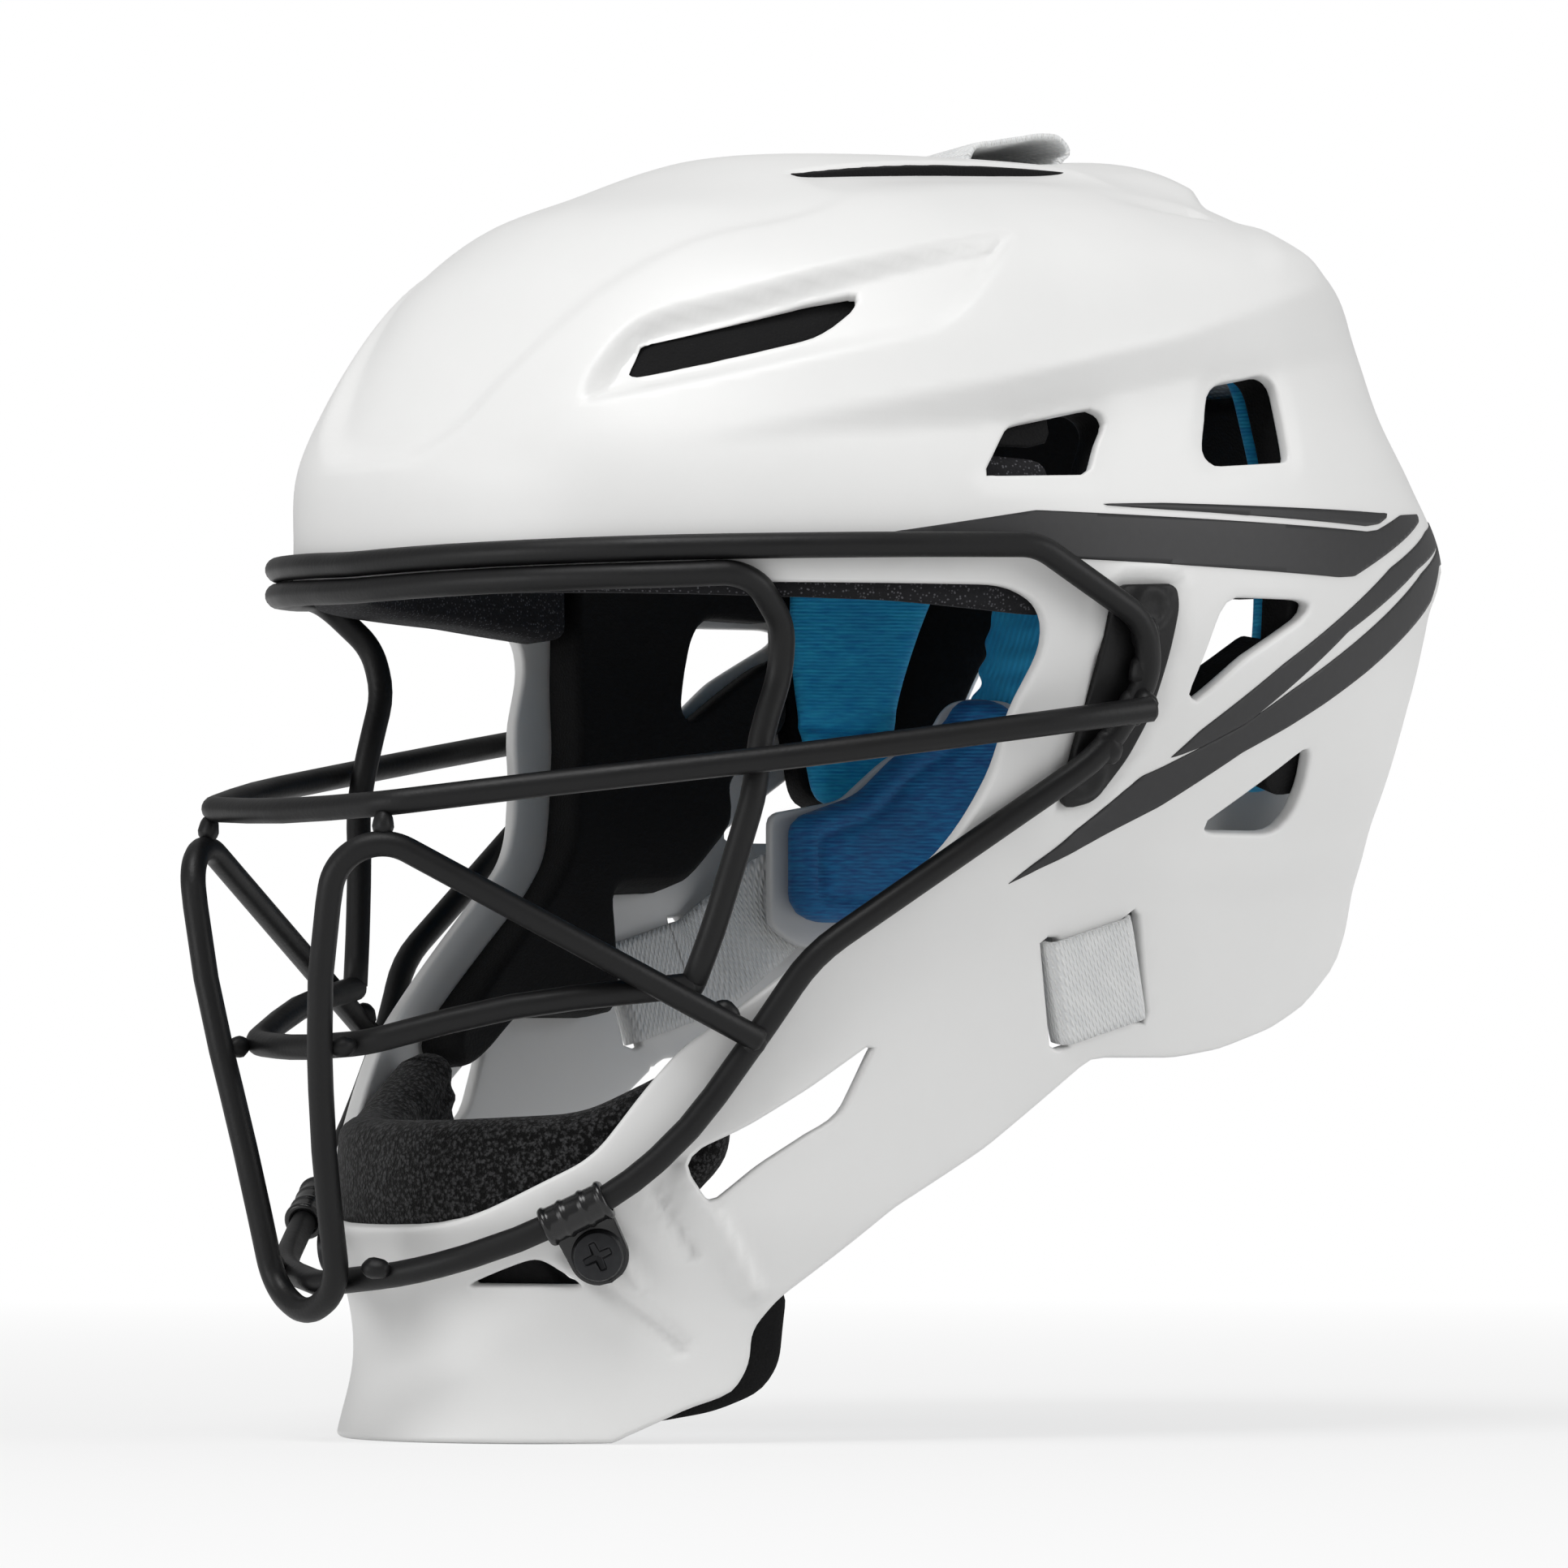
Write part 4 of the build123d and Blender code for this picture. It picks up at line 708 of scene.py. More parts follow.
# Side plates: pressed steel, 2.4 mm thick, in a recess on each side of the shell. The cage's loop is
# welded to them, and each is bolted through the shell at two embossed seats.
side_plate = [
    (-10.8, 21.1), (5.7, 21.8), (6.9, 16.6), (5.0, 5.8), (1.7, -9.8), (-2.2, -18.7), (-9.4, -29.4),
    (-17.0, -31.3), (-19.0, -28.5), (-17.0, -10.7), (-13.0, 12.2)]
bolt_spots = [(-1.7, 16.0), (-13.7, -23.1)]
side_around = np.linspace(-0.45, 0.45, 110)
side_along = np.linspace(150, 235, 110)


def side_plate_relief(p):
    """Height of the two round seats pressed into the plate."""
    height = 0
    for y, z in bolt_spots:
        distance = np.hypot(p[..., 1] - y, p[..., 2] - z)
        height = height + 1.1 * smooth(distance, 6.2, 4.6) - 0.5 * smooth(distance, 3.4, 2.4)
    return height


pressed, pressed_edge = 2.4, 0.7
plate_skin = skin(head_form, side_around, side_along, lambda p: side_depth(p, side_plate, 2.6), pressed_edge,
                  outset=1.2, relief=side_plate_relief, closed=False)
plate_body = walled(*plate_skin, pressed, rounded_edge(pressed_edge, pressed))
runs = [((117.5, -4.5, 9.5), 3.3, (0.1, 0.2, 1)), ((116.6, -4.6, 1.0), 3.4, (0.1, 0.1, 1)),
        ((115.0, -6.6, -7.5), 3.3, (0.1, -0.3, 1)), ((112.4, -11.5, -16.5), 3.3, (0.3, -0.5, 1))]
plate_beads = [bead(place, size, along, i + 20) for i, (place, size, along) in enumerate(runs)]
left_plate = joined([plate_body, *plate_beads])
make_pair("side_plate", left_plate, powder_coat, "cage_wire", "cage_side_plate")

# Bolts, nuts, washers and rivets: zinc-plated carbon steel, bought in. The bolts are welded to the side
# plates, and flanged nuts clamp them from inside the shell. Their shapes come from the source.
zinc, tree, shader = new_finish("zinc_plated_steel")
# Bright zinc: a cool grey metal with faint crystals and a slightly uneven polish
place = add_node(tree, "TexCoord")
crystal = add_node(tree, "TexVoronoi", {"Vector": place.outputs["Object"], "Scale": 700})
tone = add_node(tree, "Mix", {0: crystal.outputs["Distance"], 6: linear("C4C8CC"), 7: linear("A9AEB4")},
                data_type="RGBA")
polish = add_node(tree, "MapRange", {0: crystal.outputs["Distance"], 3: 0.26, 4: 0.40})
dress(tree, shader, Base_Color=tone.outputs[2], Roughness=polish.outputs[0], Metallic=1.0)


def refinish(node, finish):
    """Gives a node of the source its finish."""
    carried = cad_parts[node]
    if not carried.material_slots:
        carried.data.materials.append(finish)
    for held in carried.material_slots:
        held.material = finish


for node in ("plate_bolts", "plate_nuts", "clip_washers", "clip_nuts", "plate_rivets"):
    refinish(node, zinc)

# Chin clips: a glossy black nylon sleeve round the lower wire on each side, with a tab that a
# blackened pan-head screw holds on the chin. Both the sleeve and the tab are moulded in one.
# Moulded nylon: deep black, glossy, with faint flow marks
nylon = mottled("glossy_nylon", ("0D0D0E", "19191A"), (220, 2), (0.2, 0.3))[0]
# Blackened steel: dark metal whose polish wears through a little in patches
black_oxide, shader = mottled("black_oxide_steel", ("1B1B1D", "2E2F31"), (420, 4), 0.34)
shader.inputs["Metallic"].default_value = 0.6
clip_across = unit(np.array((-0.603966, -0.670452, -0.430952)))
clip_out = unit(np.array((0.768853, -0.632566, -0.093411)))
clip_down = np.cross(clip_out, clip_across)
clip_middle = np.array((56.75, -123.18, -124.74))
screw_seat = np.array((56.798, -116.938, -134.516))


def turned(profile, origin, axis, sides=40):
    """Body turned round an axis: each pair of the profile is a radius and a height along the axis."""
    axis = unit(np.array(axis, float))
    side = unit(np.cross(axis, (0.2, 0.5, 1)))
    other = np.cross(axis, side)
    angle = np.linspace(0, 2 * math.pi, sides, endpoint=False)
    ring = side[None] * np.cos(angle)[:, None] + other[None] * np.sin(angle)[:, None]
    profile = np.array(profile, float)
    points = origin + ring[None] * profile[:, 0][:, None, None] + axis * profile[:, 1][:, None, None]
    return points.reshape(-1, 3), grid_faces(len(profile), sides, True)


def clip_sleeve():
    """Sleeve round the wire: a turned tube with a raised bead at each end and one in the middle."""
    half, inner = 8.0, wire_radius + 0.2
    along = np.linspace(-half, half, 41)
    radius = 4.3 + 0.5 * (smooth(np.abs(along), 6.2, 6.8) - smooth(np.abs(along), 7.4, 8.0))
    radius = radius + 0.35 * smooth(np.abs(np.abs(along) - 2.6), 1.0, 0.2)
    outside = list(zip(radius, along))
    return turned([(inner, -half)] + outside + [(inner, half), (inner, 0), (inner, -half)], clip_middle,
                  clip_across)


def clip_tab():
    """Tab from the sleeve down over the chin: a plate with a round end, thicker beside the sleeve."""
    across = np.linspace(-1, 1, 25)
    down = np.linspace(0, 1, 30)[:, None]
    drop = 11.2
    reach = drop + 7.0
    t = down * reach
    round_end = np.sqrt(np.clip(1 - ((t - drop) / 7.0) ** 2, 0, 1)) * 7.0
    half = np.where(t > drop, round_end, 7.4 - 0.4 * t / drop)
    top = 1.5 + 0.9 * smooth(t, 6, 1)
    crown = 0.35 * (1 - across[None] ** 4)
    spots = (clip_middle + clip_across * (across[None] * half)[..., None]
             + clip_down * (t * np.ones_like(across[None]))[..., None])
    upper = spots + clip_out * (-4.5 + top + crown - 0.35)[..., None]
    lower = spots + clip_out * -4.5
    rows, columns = upper.shape[:2]
    corner = np.arange(rows * columns).reshape(rows, columns)
    face = grid_faces(rows, columns)
    ring = np.concatenate([corner[0], corner[1:, -1], corner[-1, -2::-1], corner[-2:0:-1, 0]])
    count = rows * columns
    following = np.roll(ring, -1)
    wall = np.concatenate([np.stack([ring, ring + count, following + count], -1),
                           np.stack([ring, following + count, following], -1)])
    return (np.concatenate([upper.reshape(-1, 3), lower.reshape(-1, 3)]),
            np.concatenate([face[:, ::-1], face + count, wall[:, ::-1]]))


def outward(body):
    """The same body with its faces turned outwards, if its volume comes out below zero."""
    points, faces = body
    a, b, c = (points[faces[:, i]] for i in range(3))
    return (points, faces) if (np.cross(a, b) * c).sum() > 0 else (points, faces[:, ::-1])


clip_body = joined([outward(clip_sleeve()), outward(clip_tab())])
make_pair("clip", clip_body, nylon, "clip_plastic", "chin_clip")


def cross_head():
    """Pan head with a cross recess: the height over the disc is a dome, less a cross with flared arms."""
    radius = np.append(np.linspace(0, 5.6, 46), np.linspace(5.7, 6.3, 7))[:, None]
    angle = np.linspace(0, 2 * math.pi, 96, endpoint=False)[None, :]
    a, b = radius * np.cos(angle), radius * np.sin(angle)
    dome = 2.7 * (1 - 0.22 * (radius / 6.3) ** 2) * np.clip(1 - smooth(radius, 5.5, 6.35), 0.06, 1)
    arm = np.minimum(np.abs(a), np.abs(b))
    far = np.maximum(np.abs(a), np.abs(b))
    cross = smooth(0.95 - 0.05 * far - arm, -0.18, 0.22) * smooth(far, 3.7, 3.1)
    height = dome - 1.7 * cross * (1 - 0.18 * far)
    local = np.stack([a, b, height], -1).reshape(-1, 3)
    points = screw_seat + local @ np.stack([clip_across, clip_down, clip_out])
    rings, sides = dome.shape[0], angle.shape[1]
    j = np.arange(sides)
    last, foot = (rings - 1) * sides, len(points)
    base = np.stack([last + j, np.full(sides, foot), last + (j + 1) % sides], -1)
    faces = grid_faces(rings, sides, True, True)
    return np.concatenate([points, [screw_seat]]), np.concatenate([faces, base])


shaft = turned([(0.01, -13), (2.1, -13), (2.25, -12.4), (2.25, 0), (0.01, 0)], screw_seat, clip_out)
left_screw = joined([outward(cross_head()), outward(shaft)])
make_piece("chin_screws", *joined([left_screw, mirrored(*left_screw)]), black_oxide, "helmet", "cage_wire",
           ["clip_screws"])

# Foam pads: die-cut closed-cell foam, black, glued or hooked inside the shell. The brow band is a
# speckled bonded foam, and the side pads have a bevelled edge. A thin liner lies behind the crown, and
# a black strip stands in the gutter at the foot of each hood as painted shade, where a dark slit would be;
# the shell has no slit there.
pad_seat = 4.6


def soft_rim(reach, steps=7):
    """Profile of a soft edge: half an ellipse from the outer face round to the inner one."""
    return [(reach * math.sin(a), (1 - math.cos(a)) / 2) for a in np.linspace(0, math.pi, steps + 2)[1:-1]]


def firm_rim(reach, depth, thickness):
    """Profile of a cut edge: square at the shell, and a bevel of a depth at the inner face."""
    bevel = depth / thickness
    return [(reach * 0.6, 0.02), (reach, 0.06), (reach, 1 - bevel), (reach * 0.85, 1 - 0.6 * bevel),
            (reach * 0.35, 0.985)]


def foam_finish(name, dark, light, speck=None):
    """Closed-cell foam: matte, with cells about 0.6 mm across, and specks where it is bonded crumb."""
    finish, tree, shader = new_finish(name)
    place = add_node(tree, "TexCoord")
    cells = add_node(tree, "TexVoronoi", {"Vector": place.outputs["Object"], "Scale": 1500})
    cloud = add_node(tree, "TexNoise", {"Vector": place.outputs["Object"], "Scale": 90, "Detail": 5})
    tone = add_node(tree, "Mix", {0: cloud.outputs[0], 6: linear(dark), 7: linear(light)}, data_type="RGBA")
    colour = tone.outputs[2]
    if speck:
        crumbs = add_node(tree, "TexVoronoi", {"Vector": place.outputs["Object"], "Scale": 1500})
        chosen = add_node(tree, "MapRange", {0: crumbs.outputs["Color"], 1: 0.5, 2: 0.6})
        small = add_node(tree, "MapRange", {0: crumbs.outputs["Distance"], 1: 0.45, 2: 0.25})
        both = add_node(tree, "Math", {0: chosen.outputs[0], 1: small.outputs[0]}, operation="MULTIPLY")
        flecked = add_node(tree, "Mix", {0: both.outputs[0], 6: colour, 7: linear(speck)}, data_type="RGBA")
        colour = flecked.outputs[2]
    bump = add_node(tree, "Bump", {"Height": cells.outputs["Distance"], "Strength": 0.35, "Distance": 0.0004})
    dress(tree, shader, Base_Color=colour, Normal=bump.outputs[0], Roughness=0.86, Specular_IOR_Level=0.25)
    return finish


eva_black = foam_finish("eva_foam", "09090A", "121213")
bonded_foam = foam_finish("bonded_crumb_foam", "151517", "222225", "5A5A5E")


def pad_keep(outline, corner, holes=(), hole_corner=4.0):
    """Distance inside a pad's side outline and outside its holes."""
    def keep(p):
        depth = side_depth(p, outline, corner)
        for hole in holes:
            depth = np.minimum(depth, -side_depth(p, hole, hole_corner))
        return depth
    return keep


def grown(outline, margin):
    """Outline whose points move out from their middle by about a margin."""
    at = np.array(outline, float)
    return at + unit(at - at.mean(0)) * margin


def made_pad(keep, seat, thickness, reach, rim, around, along, closed=False, relief=None):
    """Body of a pad on the head form, between its seat and its thickness."""
    pad = skin(head_form, around, along, keep, reach, outset=-seat, closed=closed)
    return walled(*pad, thickness if relief is None else thickness + relief(pad[1]), rim)


left_around = np.linspace(-math.pi / 2, math.pi / 2, 190)
pad_along = np.linspace(60, form_length - 30, 170)
side_pad = [
    (-20.2, 80), (-20.2, 14.1), (-23.8, -12.1), (-28.1, -27.1), (-33.1, -40.1), (-41.8, -49.8),
    (-84.2, -84.5), (-80.6, -92.6), (-72, -89.9), (-56.2, -79.2), (-21.6, -79.2), (-20.9, -49),
    (2.9, -48.1), (21.4, -33.8), (22.2, -23.1), (43.6, -8), (43.6, 80)]
pad_windows = [grown(window, 2.5) for window in (front_window, rear_window, ear_window)]
side_thickness, side_edge, side_bevel = 12, 1.8, 3.0
side_pad_body = made_pad(pad_keep(side_pad, 5.0, pad_windows), pad_seat, side_thickness, side_edge,
                         firm_rim(side_edge, side_bevel, side_thickness), left_around, pad_along)
make_pair("side_foam", side_pad_body, eva_black, "black_foam", "side_pad")

forehead = [(-170, 20.4), (-60.5, 16.6), (-24.5, 13.4), (-24.5, 50), (-60.5, 52.5), (-170, 53.8)]
front_around = np.linspace(-math.pi - 0.15, 0.15, 330)
brow_thickness, brow_edge, brow_bevel = 13, 2.2, 3.5
forehead_body = made_pad(pad_keep(forehead, 4.0), pad_seat, brow_thickness, brow_edge,
                         firm_rim(brow_edge, brow_bevel, brow_thickness), front_around,
                         np.linspace(195, 270, 60))
make_piece("brow_band", *forehead_body, bonded_foam, "helmet", "brow_foam", ["forehead_pad"])

throat_pad = [
    (-170, -146), (-130, -134.5), (-121, -134.5), (-116, -143), (-95, -136.2), (-71.3, -142.4), (-71.5, -160),
    (-75.5, -166.5), (-86, -171), (-100, -173.6), (-170, -176.2)]
throat_thickness, throat_edge, throat_bevel = 9, 1.8, 2.5
throat_body = made_pad(pad_keep(throat_pad, 4.0), pad_seat, throat_thickness, throat_edge,
                       firm_rim(throat_edge, throat_bevel, throat_thickness), front_around,
                       np.linspace(4, 80, 60))
make_piece("throat_foam", *throat_body, eva_black, "helmet", "black_foam", ["throat_pad"])


def rear_upper_keep(p):
    """Distance inside the pad's rear view, in its width and height."""
    outline = [(-30, 27), (30, 27), (38, 76), (-38, 76)]
    return np.where(p[..., 1] > 30, depth_in(p[..., 0], p[..., 2], outline, 8.0), -14.0)


strap_seat = 6.6
upper_thickness, upper_edge = 11, 2.5
rear_upper_body = made_pad(rear_upper_keep, strap_seat, upper_thickness, upper_edge, soft_rim(upper_edge),
                           np.linspace(0.6, 2.55, 90), np.linspace(200, 300, 70))
make_piece("rear_upper_foam", *rear_upper_body, eva_black, "helmet", "black_foam",
                     ["rear_upper_pad"])

rear_pad = [(45, 79.4), (45, -26.7), (57.9, -26.7), (70.1, -17.8), (69.4, -6.2), (80.1, 24.3), (85.8, 39.7),
            (83.7, 60.2), (70.1, 79.4)]
all_around = [np.linspace(-math.pi, math.pi, count, endpoint=False) for count in (200, 230, 340)]


def liner_keep(p):
    """Distance inside the liner: over the brow and crown in the side view and behind the rear pads,
    short of the shell's edge, and clear of the strap."""
    x, y = p[..., 0], p[..., 1]
    sides = [(-170, 57), (-22.5, 53), (-22.5, 83), (62, 83), (62, -24), (170, -24), (170, 150), (-170, 150)]
    depth = np.minimum(side_depth(p, sides, 5.0), -side_depth(p, lower_edge, 3.0) - 3)
    depth = np.minimum(depth, -side_depth(p, rear_pad, 6.0) - 0.4)
    return np.minimum(depth, np.where(y > 0, np.abs(x) - 20.5, 14.0))


liner_seat, liner_thickness, liner_edge = 4.5, 1.9, 0.6
liner_body = made_pad(liner_keep, liner_seat, liner_thickness, liner_edge, soft_rim(liner_edge, 3),
                      all_around[1], np.linspace(150, form_length, 110), closed=True)
make_piece("crown_liner", *liner_body, eva_black, "helmet", "black_foam")


def hood_shade_keep(p):
    """Distance inside the black strip at the foot of each hood, which is painted shade for the dark slit
    under the hood.
    """
    x, y, z = np.moveaxis(p, -1, 0)
    past = hood_place(x, y)[1]
    depth = np.minimum(np.minimum(past + 0.6, 2.4 - past), 40 - np.abs(y + 10))
    return np.where(z > 95, np.maximum(depth, -14), -14.0)


# Painted shade: a black strip standing proud of the shell's gutter at each hood's foot, with no slit behind
# it
hood_seat, hood_thickness, hood_edge = 0.8, 3.4, 0.3
hood_shade_body = made_pad(hood_shade_keep, hood_seat, hood_thickness, hood_edge, [(hood_edge, 0.1), (hood_edge, 0.9)],
                     all_around[2], np.linspace(form_length - 66, form_length - 32, 56), closed=True)
make_piece("hood_shade_strip", *hood_shade_body, eva_black, "helmet", "black_foam")

# Chin pad: a U of foam in black cotton-polyester terry, stuck inside the chin. It stands above the rim
# of the opening, and its upper edge is a smooth ribbed binding.
terry, tree, shader = new_finish("terry_cloth")
# Terry: loops about a millimetre apart; the colour follows the pile, black between the loops as painted shade
# and grey on their tops
place = add_node(tree, "TexCoord")
loops = add_node(tree, "TexVoronoi", {"Vector": place.outputs["Object"], "Scale": 1000},
                 feature="SMOOTH_F1")
fuzz = add_node(tree, "TexNoise", {"Vector": place.outputs["Object"], "Scale": 2400, "Detail": 4})
pile = add_node(tree, "Math", {0: loops.outputs["Distance"], 1: fuzz.outputs[0]}, operation="ADD")
tone = add_node(tree, "MapRange", {0: pile.outputs[0], 1: 0.6, 2: 1.0})
# Painted shade: the hollows of the pile are coloured near black, the loop tops grey
colour = add_node(tree, "Mix", {0: tone.outputs[0], 6: linear("424243"), 7: linear("030303")},
                  data_type="RGBA")
bump = add_node(tree, "Bump", {"Height": pile.outputs[0], "Strength": 0.8, "Distance": 0.0005}, invert=True)
dress(tree, shader, Base_Color=colour.outputs[2], Normal=bump.outputs[0], Roughness=0.95, Sheen_Weight=0.12,
      Specular_IOR_Level=0.15)
chin_pad = [(-170, -104), (-118.1, -101.6), (-99.4, -91.4), (-87.8, -84), (-86.4, -89), (-86.4, -112.1),
            (-99.4, -128.2), (-170, -149.5)]


def loops_relief(p):
    """Small unevenness of the pile: three crossed waves a few millimetres long."""
    x, y, z = np.moveaxis(p, -1, 0)
    waves = (x * 1.1 + z * 0.7, y * 1.3 - z * 0.9 + 1, (x + y) * 0.8 + z * 1.2 + 2)
    return 0.25 * sum(np.sin(wave) for wave in waves)


chin_thickness, chin_edge = 14.6, 5.5
chin_body = made_pad(pad_keep(chin_pad, 5.0), pad_seat, chin_thickness, chin_edge, soft_rim(chin_edge, 9),
                     front_around, np.linspace(40, 115, 64), relief=loops_relief)
make_piece("chin_terry", *chin_body, terry, "helmet", "terry_cloth", ["chin_pad"])

# Liner pads: foam covered with blue melange jersey, sewn at the edge. Crown, both sides of the rear,
# and the pad of the floating plate are cut from the same cloth; the plate's pad takes a darker copy of its
# colours as painted shade.


def jersey_finish(name, dark, light, shadow):
    """Polyester jersey, dyed unevenly: light and dark threads run along it, with fine knit ribs 0.9 mm
    apart and soft folds."""
    finish, tree, shader = new_finish(name)
    place = add_node(tree, "TexCoord")
    stretch = add_node(tree, "Mapping", {"Vector": place.outputs["Object"], "Scale": (220, 220, 1500)})
    threads = add_node(tree, "TexNoise", {"Vector": stretch.outputs[0], "Scale": 1.0, "Detail": 4})
    patch = add_node(tree, "TexNoise", {"Vector": place.outputs["Object"], "Scale": 55, "Detail": 3})
    knit = add_node(tree, "TexWave", {"Vector": place.outputs["Object"], "Scale": 350, "Distortion": 1.2,
                                      "Detail": 2}, bands_direction="Z")
    folds = add_node(tree, "TexNoise", {"Vector": place.outputs["Object"], "Scale": 34, "Detail": 2,
                                        "Distortion": 0.8})
    shade = add_node(tree, "MapRange", {0: threads.outputs[0], 1: 0.34, 2: 0.66})
    colour = add_node(tree, "Mix", {0: shade.outputs[0], 6: linear(dark), 7: linear(light)}, data_type="RGBA")
    tint = add_node(tree, "MapRange", {0: patch.outputs[0], 1: 0.35, 2: 0.7, 3: 0.0, 4: 0.35})
    deep = add_node(tree, "Mix", {0: tint.outputs[0], 6: colour.outputs[2], 7: linear(shadow)},
                    data_type="RGBA")
    fine = add_node(tree, "Bump", {"Height": knit.outputs[0], "Strength": 0.3, "Distance": 0.0004})
    bump = add_node(tree, "Bump", {"Height": folds.outputs[0], "Strength": 0.5, "Distance": 0.004,
                                   "Normal": fine.outputs[0]})
    dress(tree, shader, Base_Color=deep.outputs[2], Normal=bump.outputs[0], Roughness=0.72, Sheen_Weight=0.1,
          Sheen_Roughness=0.45)
    return finish


jersey = jersey_finish("melange_jersey", "089ADE", "2CC4F4", "087EC0")
# Darker copy of the same jersey, with painted shade, for the floating plate's pad
shaded_jersey = jersey_finish("shaded_melange_jersey", "044F8C", "0A76B0", "043C68")


def rear_pad_relief(p):
    """Crown of the pad, and the sewn fold across it at z about -7."""
    fold = np.abs(p[..., 2] + 7 + 0.12 * (p[..., 1] - 55))
    return 1.4 * np.sin(np.clip((p[..., 1] - 45) / 36, 0, 1) * math.pi) - 3.2 * np.exp(-(fold / 1.8) ** 2)


rear_keep = pad_keep(rear_pad, 6.0, [grown(rear_window, 2.5)])
core_thickness, core_edge, core_bevel = 8.6, 0.8, 1.0
cover_thickness, cover_edge, cover_sinks = 5.0, 3.0, 0.2
rear_core = made_pad(rear_keep, pad_seat, core_thickness, core_edge,
                     firm_rim(core_edge, core_bevel, core_thickness), left_around, pad_along)
rear_body = made_pad(rear_keep, pad_seat + core_thickness - cover_sinks, cover_thickness, cover_edge,
                     soft_rim(cover_edge, 7), left_around, pad_along, relief=rear_pad_relief)
for hand, core, body in (("left", rear_core, rear_body),
                         ("right", mirrored(*rear_core), mirrored(*rear_body))):
    make_piece("rear_core_" + hand, *core, eva_black, "helmet", "black_foam")
    make_piece("rear_cushion_" + hand, *body, jersey, "helmet", "blue_jersey",
                         ["rear_pad_" + hand])


def crown_keep(p):
    """Distance inside the pad's top view."""
    outline = [(-50, -64), (50, -64), (60, -17), (57, 40), (-57, 40), (-60, -17)]
    return np.where(p[..., 2] > 60, depth_in(p[..., 0], p[..., 1], outline, 16.0), -14.0)


crown_thickness, crown_edge = 15, 5.0
crown_body = made_pad(crown_keep, strap_seat, crown_thickness, crown_edge, soft_rim(crown_edge, 9),
                      all_around[0], np.linspace(270, form_length, 60), closed=True)
make_piece("crown_cushion", *crown_body, jersey, "helmet", "blue_jersey", ["crown_pad"])

# Straps: woven elastic webbing, white-grey, with a diagonal twill. The wide one loops over a bridge at
# the crown and runs down inside the back; the others loop round a bridge in each side of the shell.
webbing, tree, shader = new_finish("elastic_webbing")
# Woven polyester and rubber: twill lines 1.3 mm apart and ribs across, coloured soft grey in the hollows of
# the weave as painted shade, with a random mottle
lay = add_node(tree, "UVMap", uv_map="lay")
twist = add_node(tree, "Mapping", {"Vector": lay.outputs[0], "Rotation": (0, 0, math.radians(32))})
twill = add_node(tree, "TexWave", {"Vector": twist.outputs[0], "Scale": 240, "Distortion": 0.6, "Detail": 1})
rib = add_node(tree, "TexWave", {"Vector": lay.outputs[0], "Scale": 330}, bands_direction="X")
weave = add_node(tree, "Math", {0: twill.outputs[0], 1: rib.outputs[0]}, operation="MULTIPLY")
mottle = add_node(tree, "TexNoise", {"Vector": lay.outputs[0], "Scale": 160, "Detail": 3})
raised = add_node(tree, "Math", {0: weave.outputs[0], 1: mottle.outputs[0]}, operation="ADD")
# Painted shade: the colour darkens where the weave is low, and drifts with the mottle
tone = add_node(tree, "MapRange", {0: raised.outputs[0], 1: 0.3, 2: 1.2})
colour = add_node(tree, "Mix", {0: tone.outputs[0], 6: linear("DCDEDF"), 7: linear("F6F6F5")},
                  data_type="RGBA")
bump = add_node(tree, "Bump", {"Height": weave.outputs[0], "Strength": 0.7, "Distance": 0.0006})
dress(tree, shader, Base_Color=colour.outputs[2], Normal=bump.outputs[0], Roughness=0.8, Sheen_Weight=0.2)


def ribbon(path, across, width, thickness, closed=False, tuck=0.25):
    """Flat strap along a path. Its section is a thin rounded bar across the given direction, and
    tuck takes the edges in a little. Returns points, faces and the lay of the cloth."""
    path = np.asarray(path, float)
    across = unit(np.broadcast_to(np.asarray(across, float), path.shape))
    ahead = unit(np.roll(path, -1, 0) - np.roll(path, 1, 0)) if closed else unit(np.gradient(path, axis=0))
    across = unit(across - ahead * (across * ahead).sum(-1, keepdims=True))
    up = np.cross(ahead, across)
    side = np.concatenate([np.linspace(-1, 1, 13), np.linspace(1, -1, 13)])
    face = np.concatenate([np.ones(13), -np.ones(13)])
    slim = 1 - tuck * np.abs(side) ** 8
    section_a = side * width / 2
    section_b = face * slim * thickness / 2
    points = (path[:, None] + across[:, None] * section_a[None, :, None]
              + up[:, None] * section_b[None, :, None])
    run = np.append(0, np.cumsum(np.linalg.norm(np.diff(path, axis=0), axis=1)))
    lay = np.stack([np.broadcast_to(run[:, None], points.shape[:2]),
                    np.broadcast_to(section_a[None], points.shape[:2])], -1)
    count, sides = points.shape[:2]
    faces = grid_faces(count + closed, sides, True) % (count * sides)
    if not closed:
        for end, turn in ((0, 1), (count - 1, -1)):
            k = np.arange(12)
            near, far = end * sides + k, end * sides + 25 - k
            cap = np.concatenate([np.stack([near, far, near + 1], -1),
                                  np.stack([near + 1, far, far - 1], -1)])
            faces = np.concatenate([faces, cap[:, ::turn]])
    body = outward((points.reshape(-1, 3), faces))
    return body[0], body[1], lay.reshape(-1, 2)


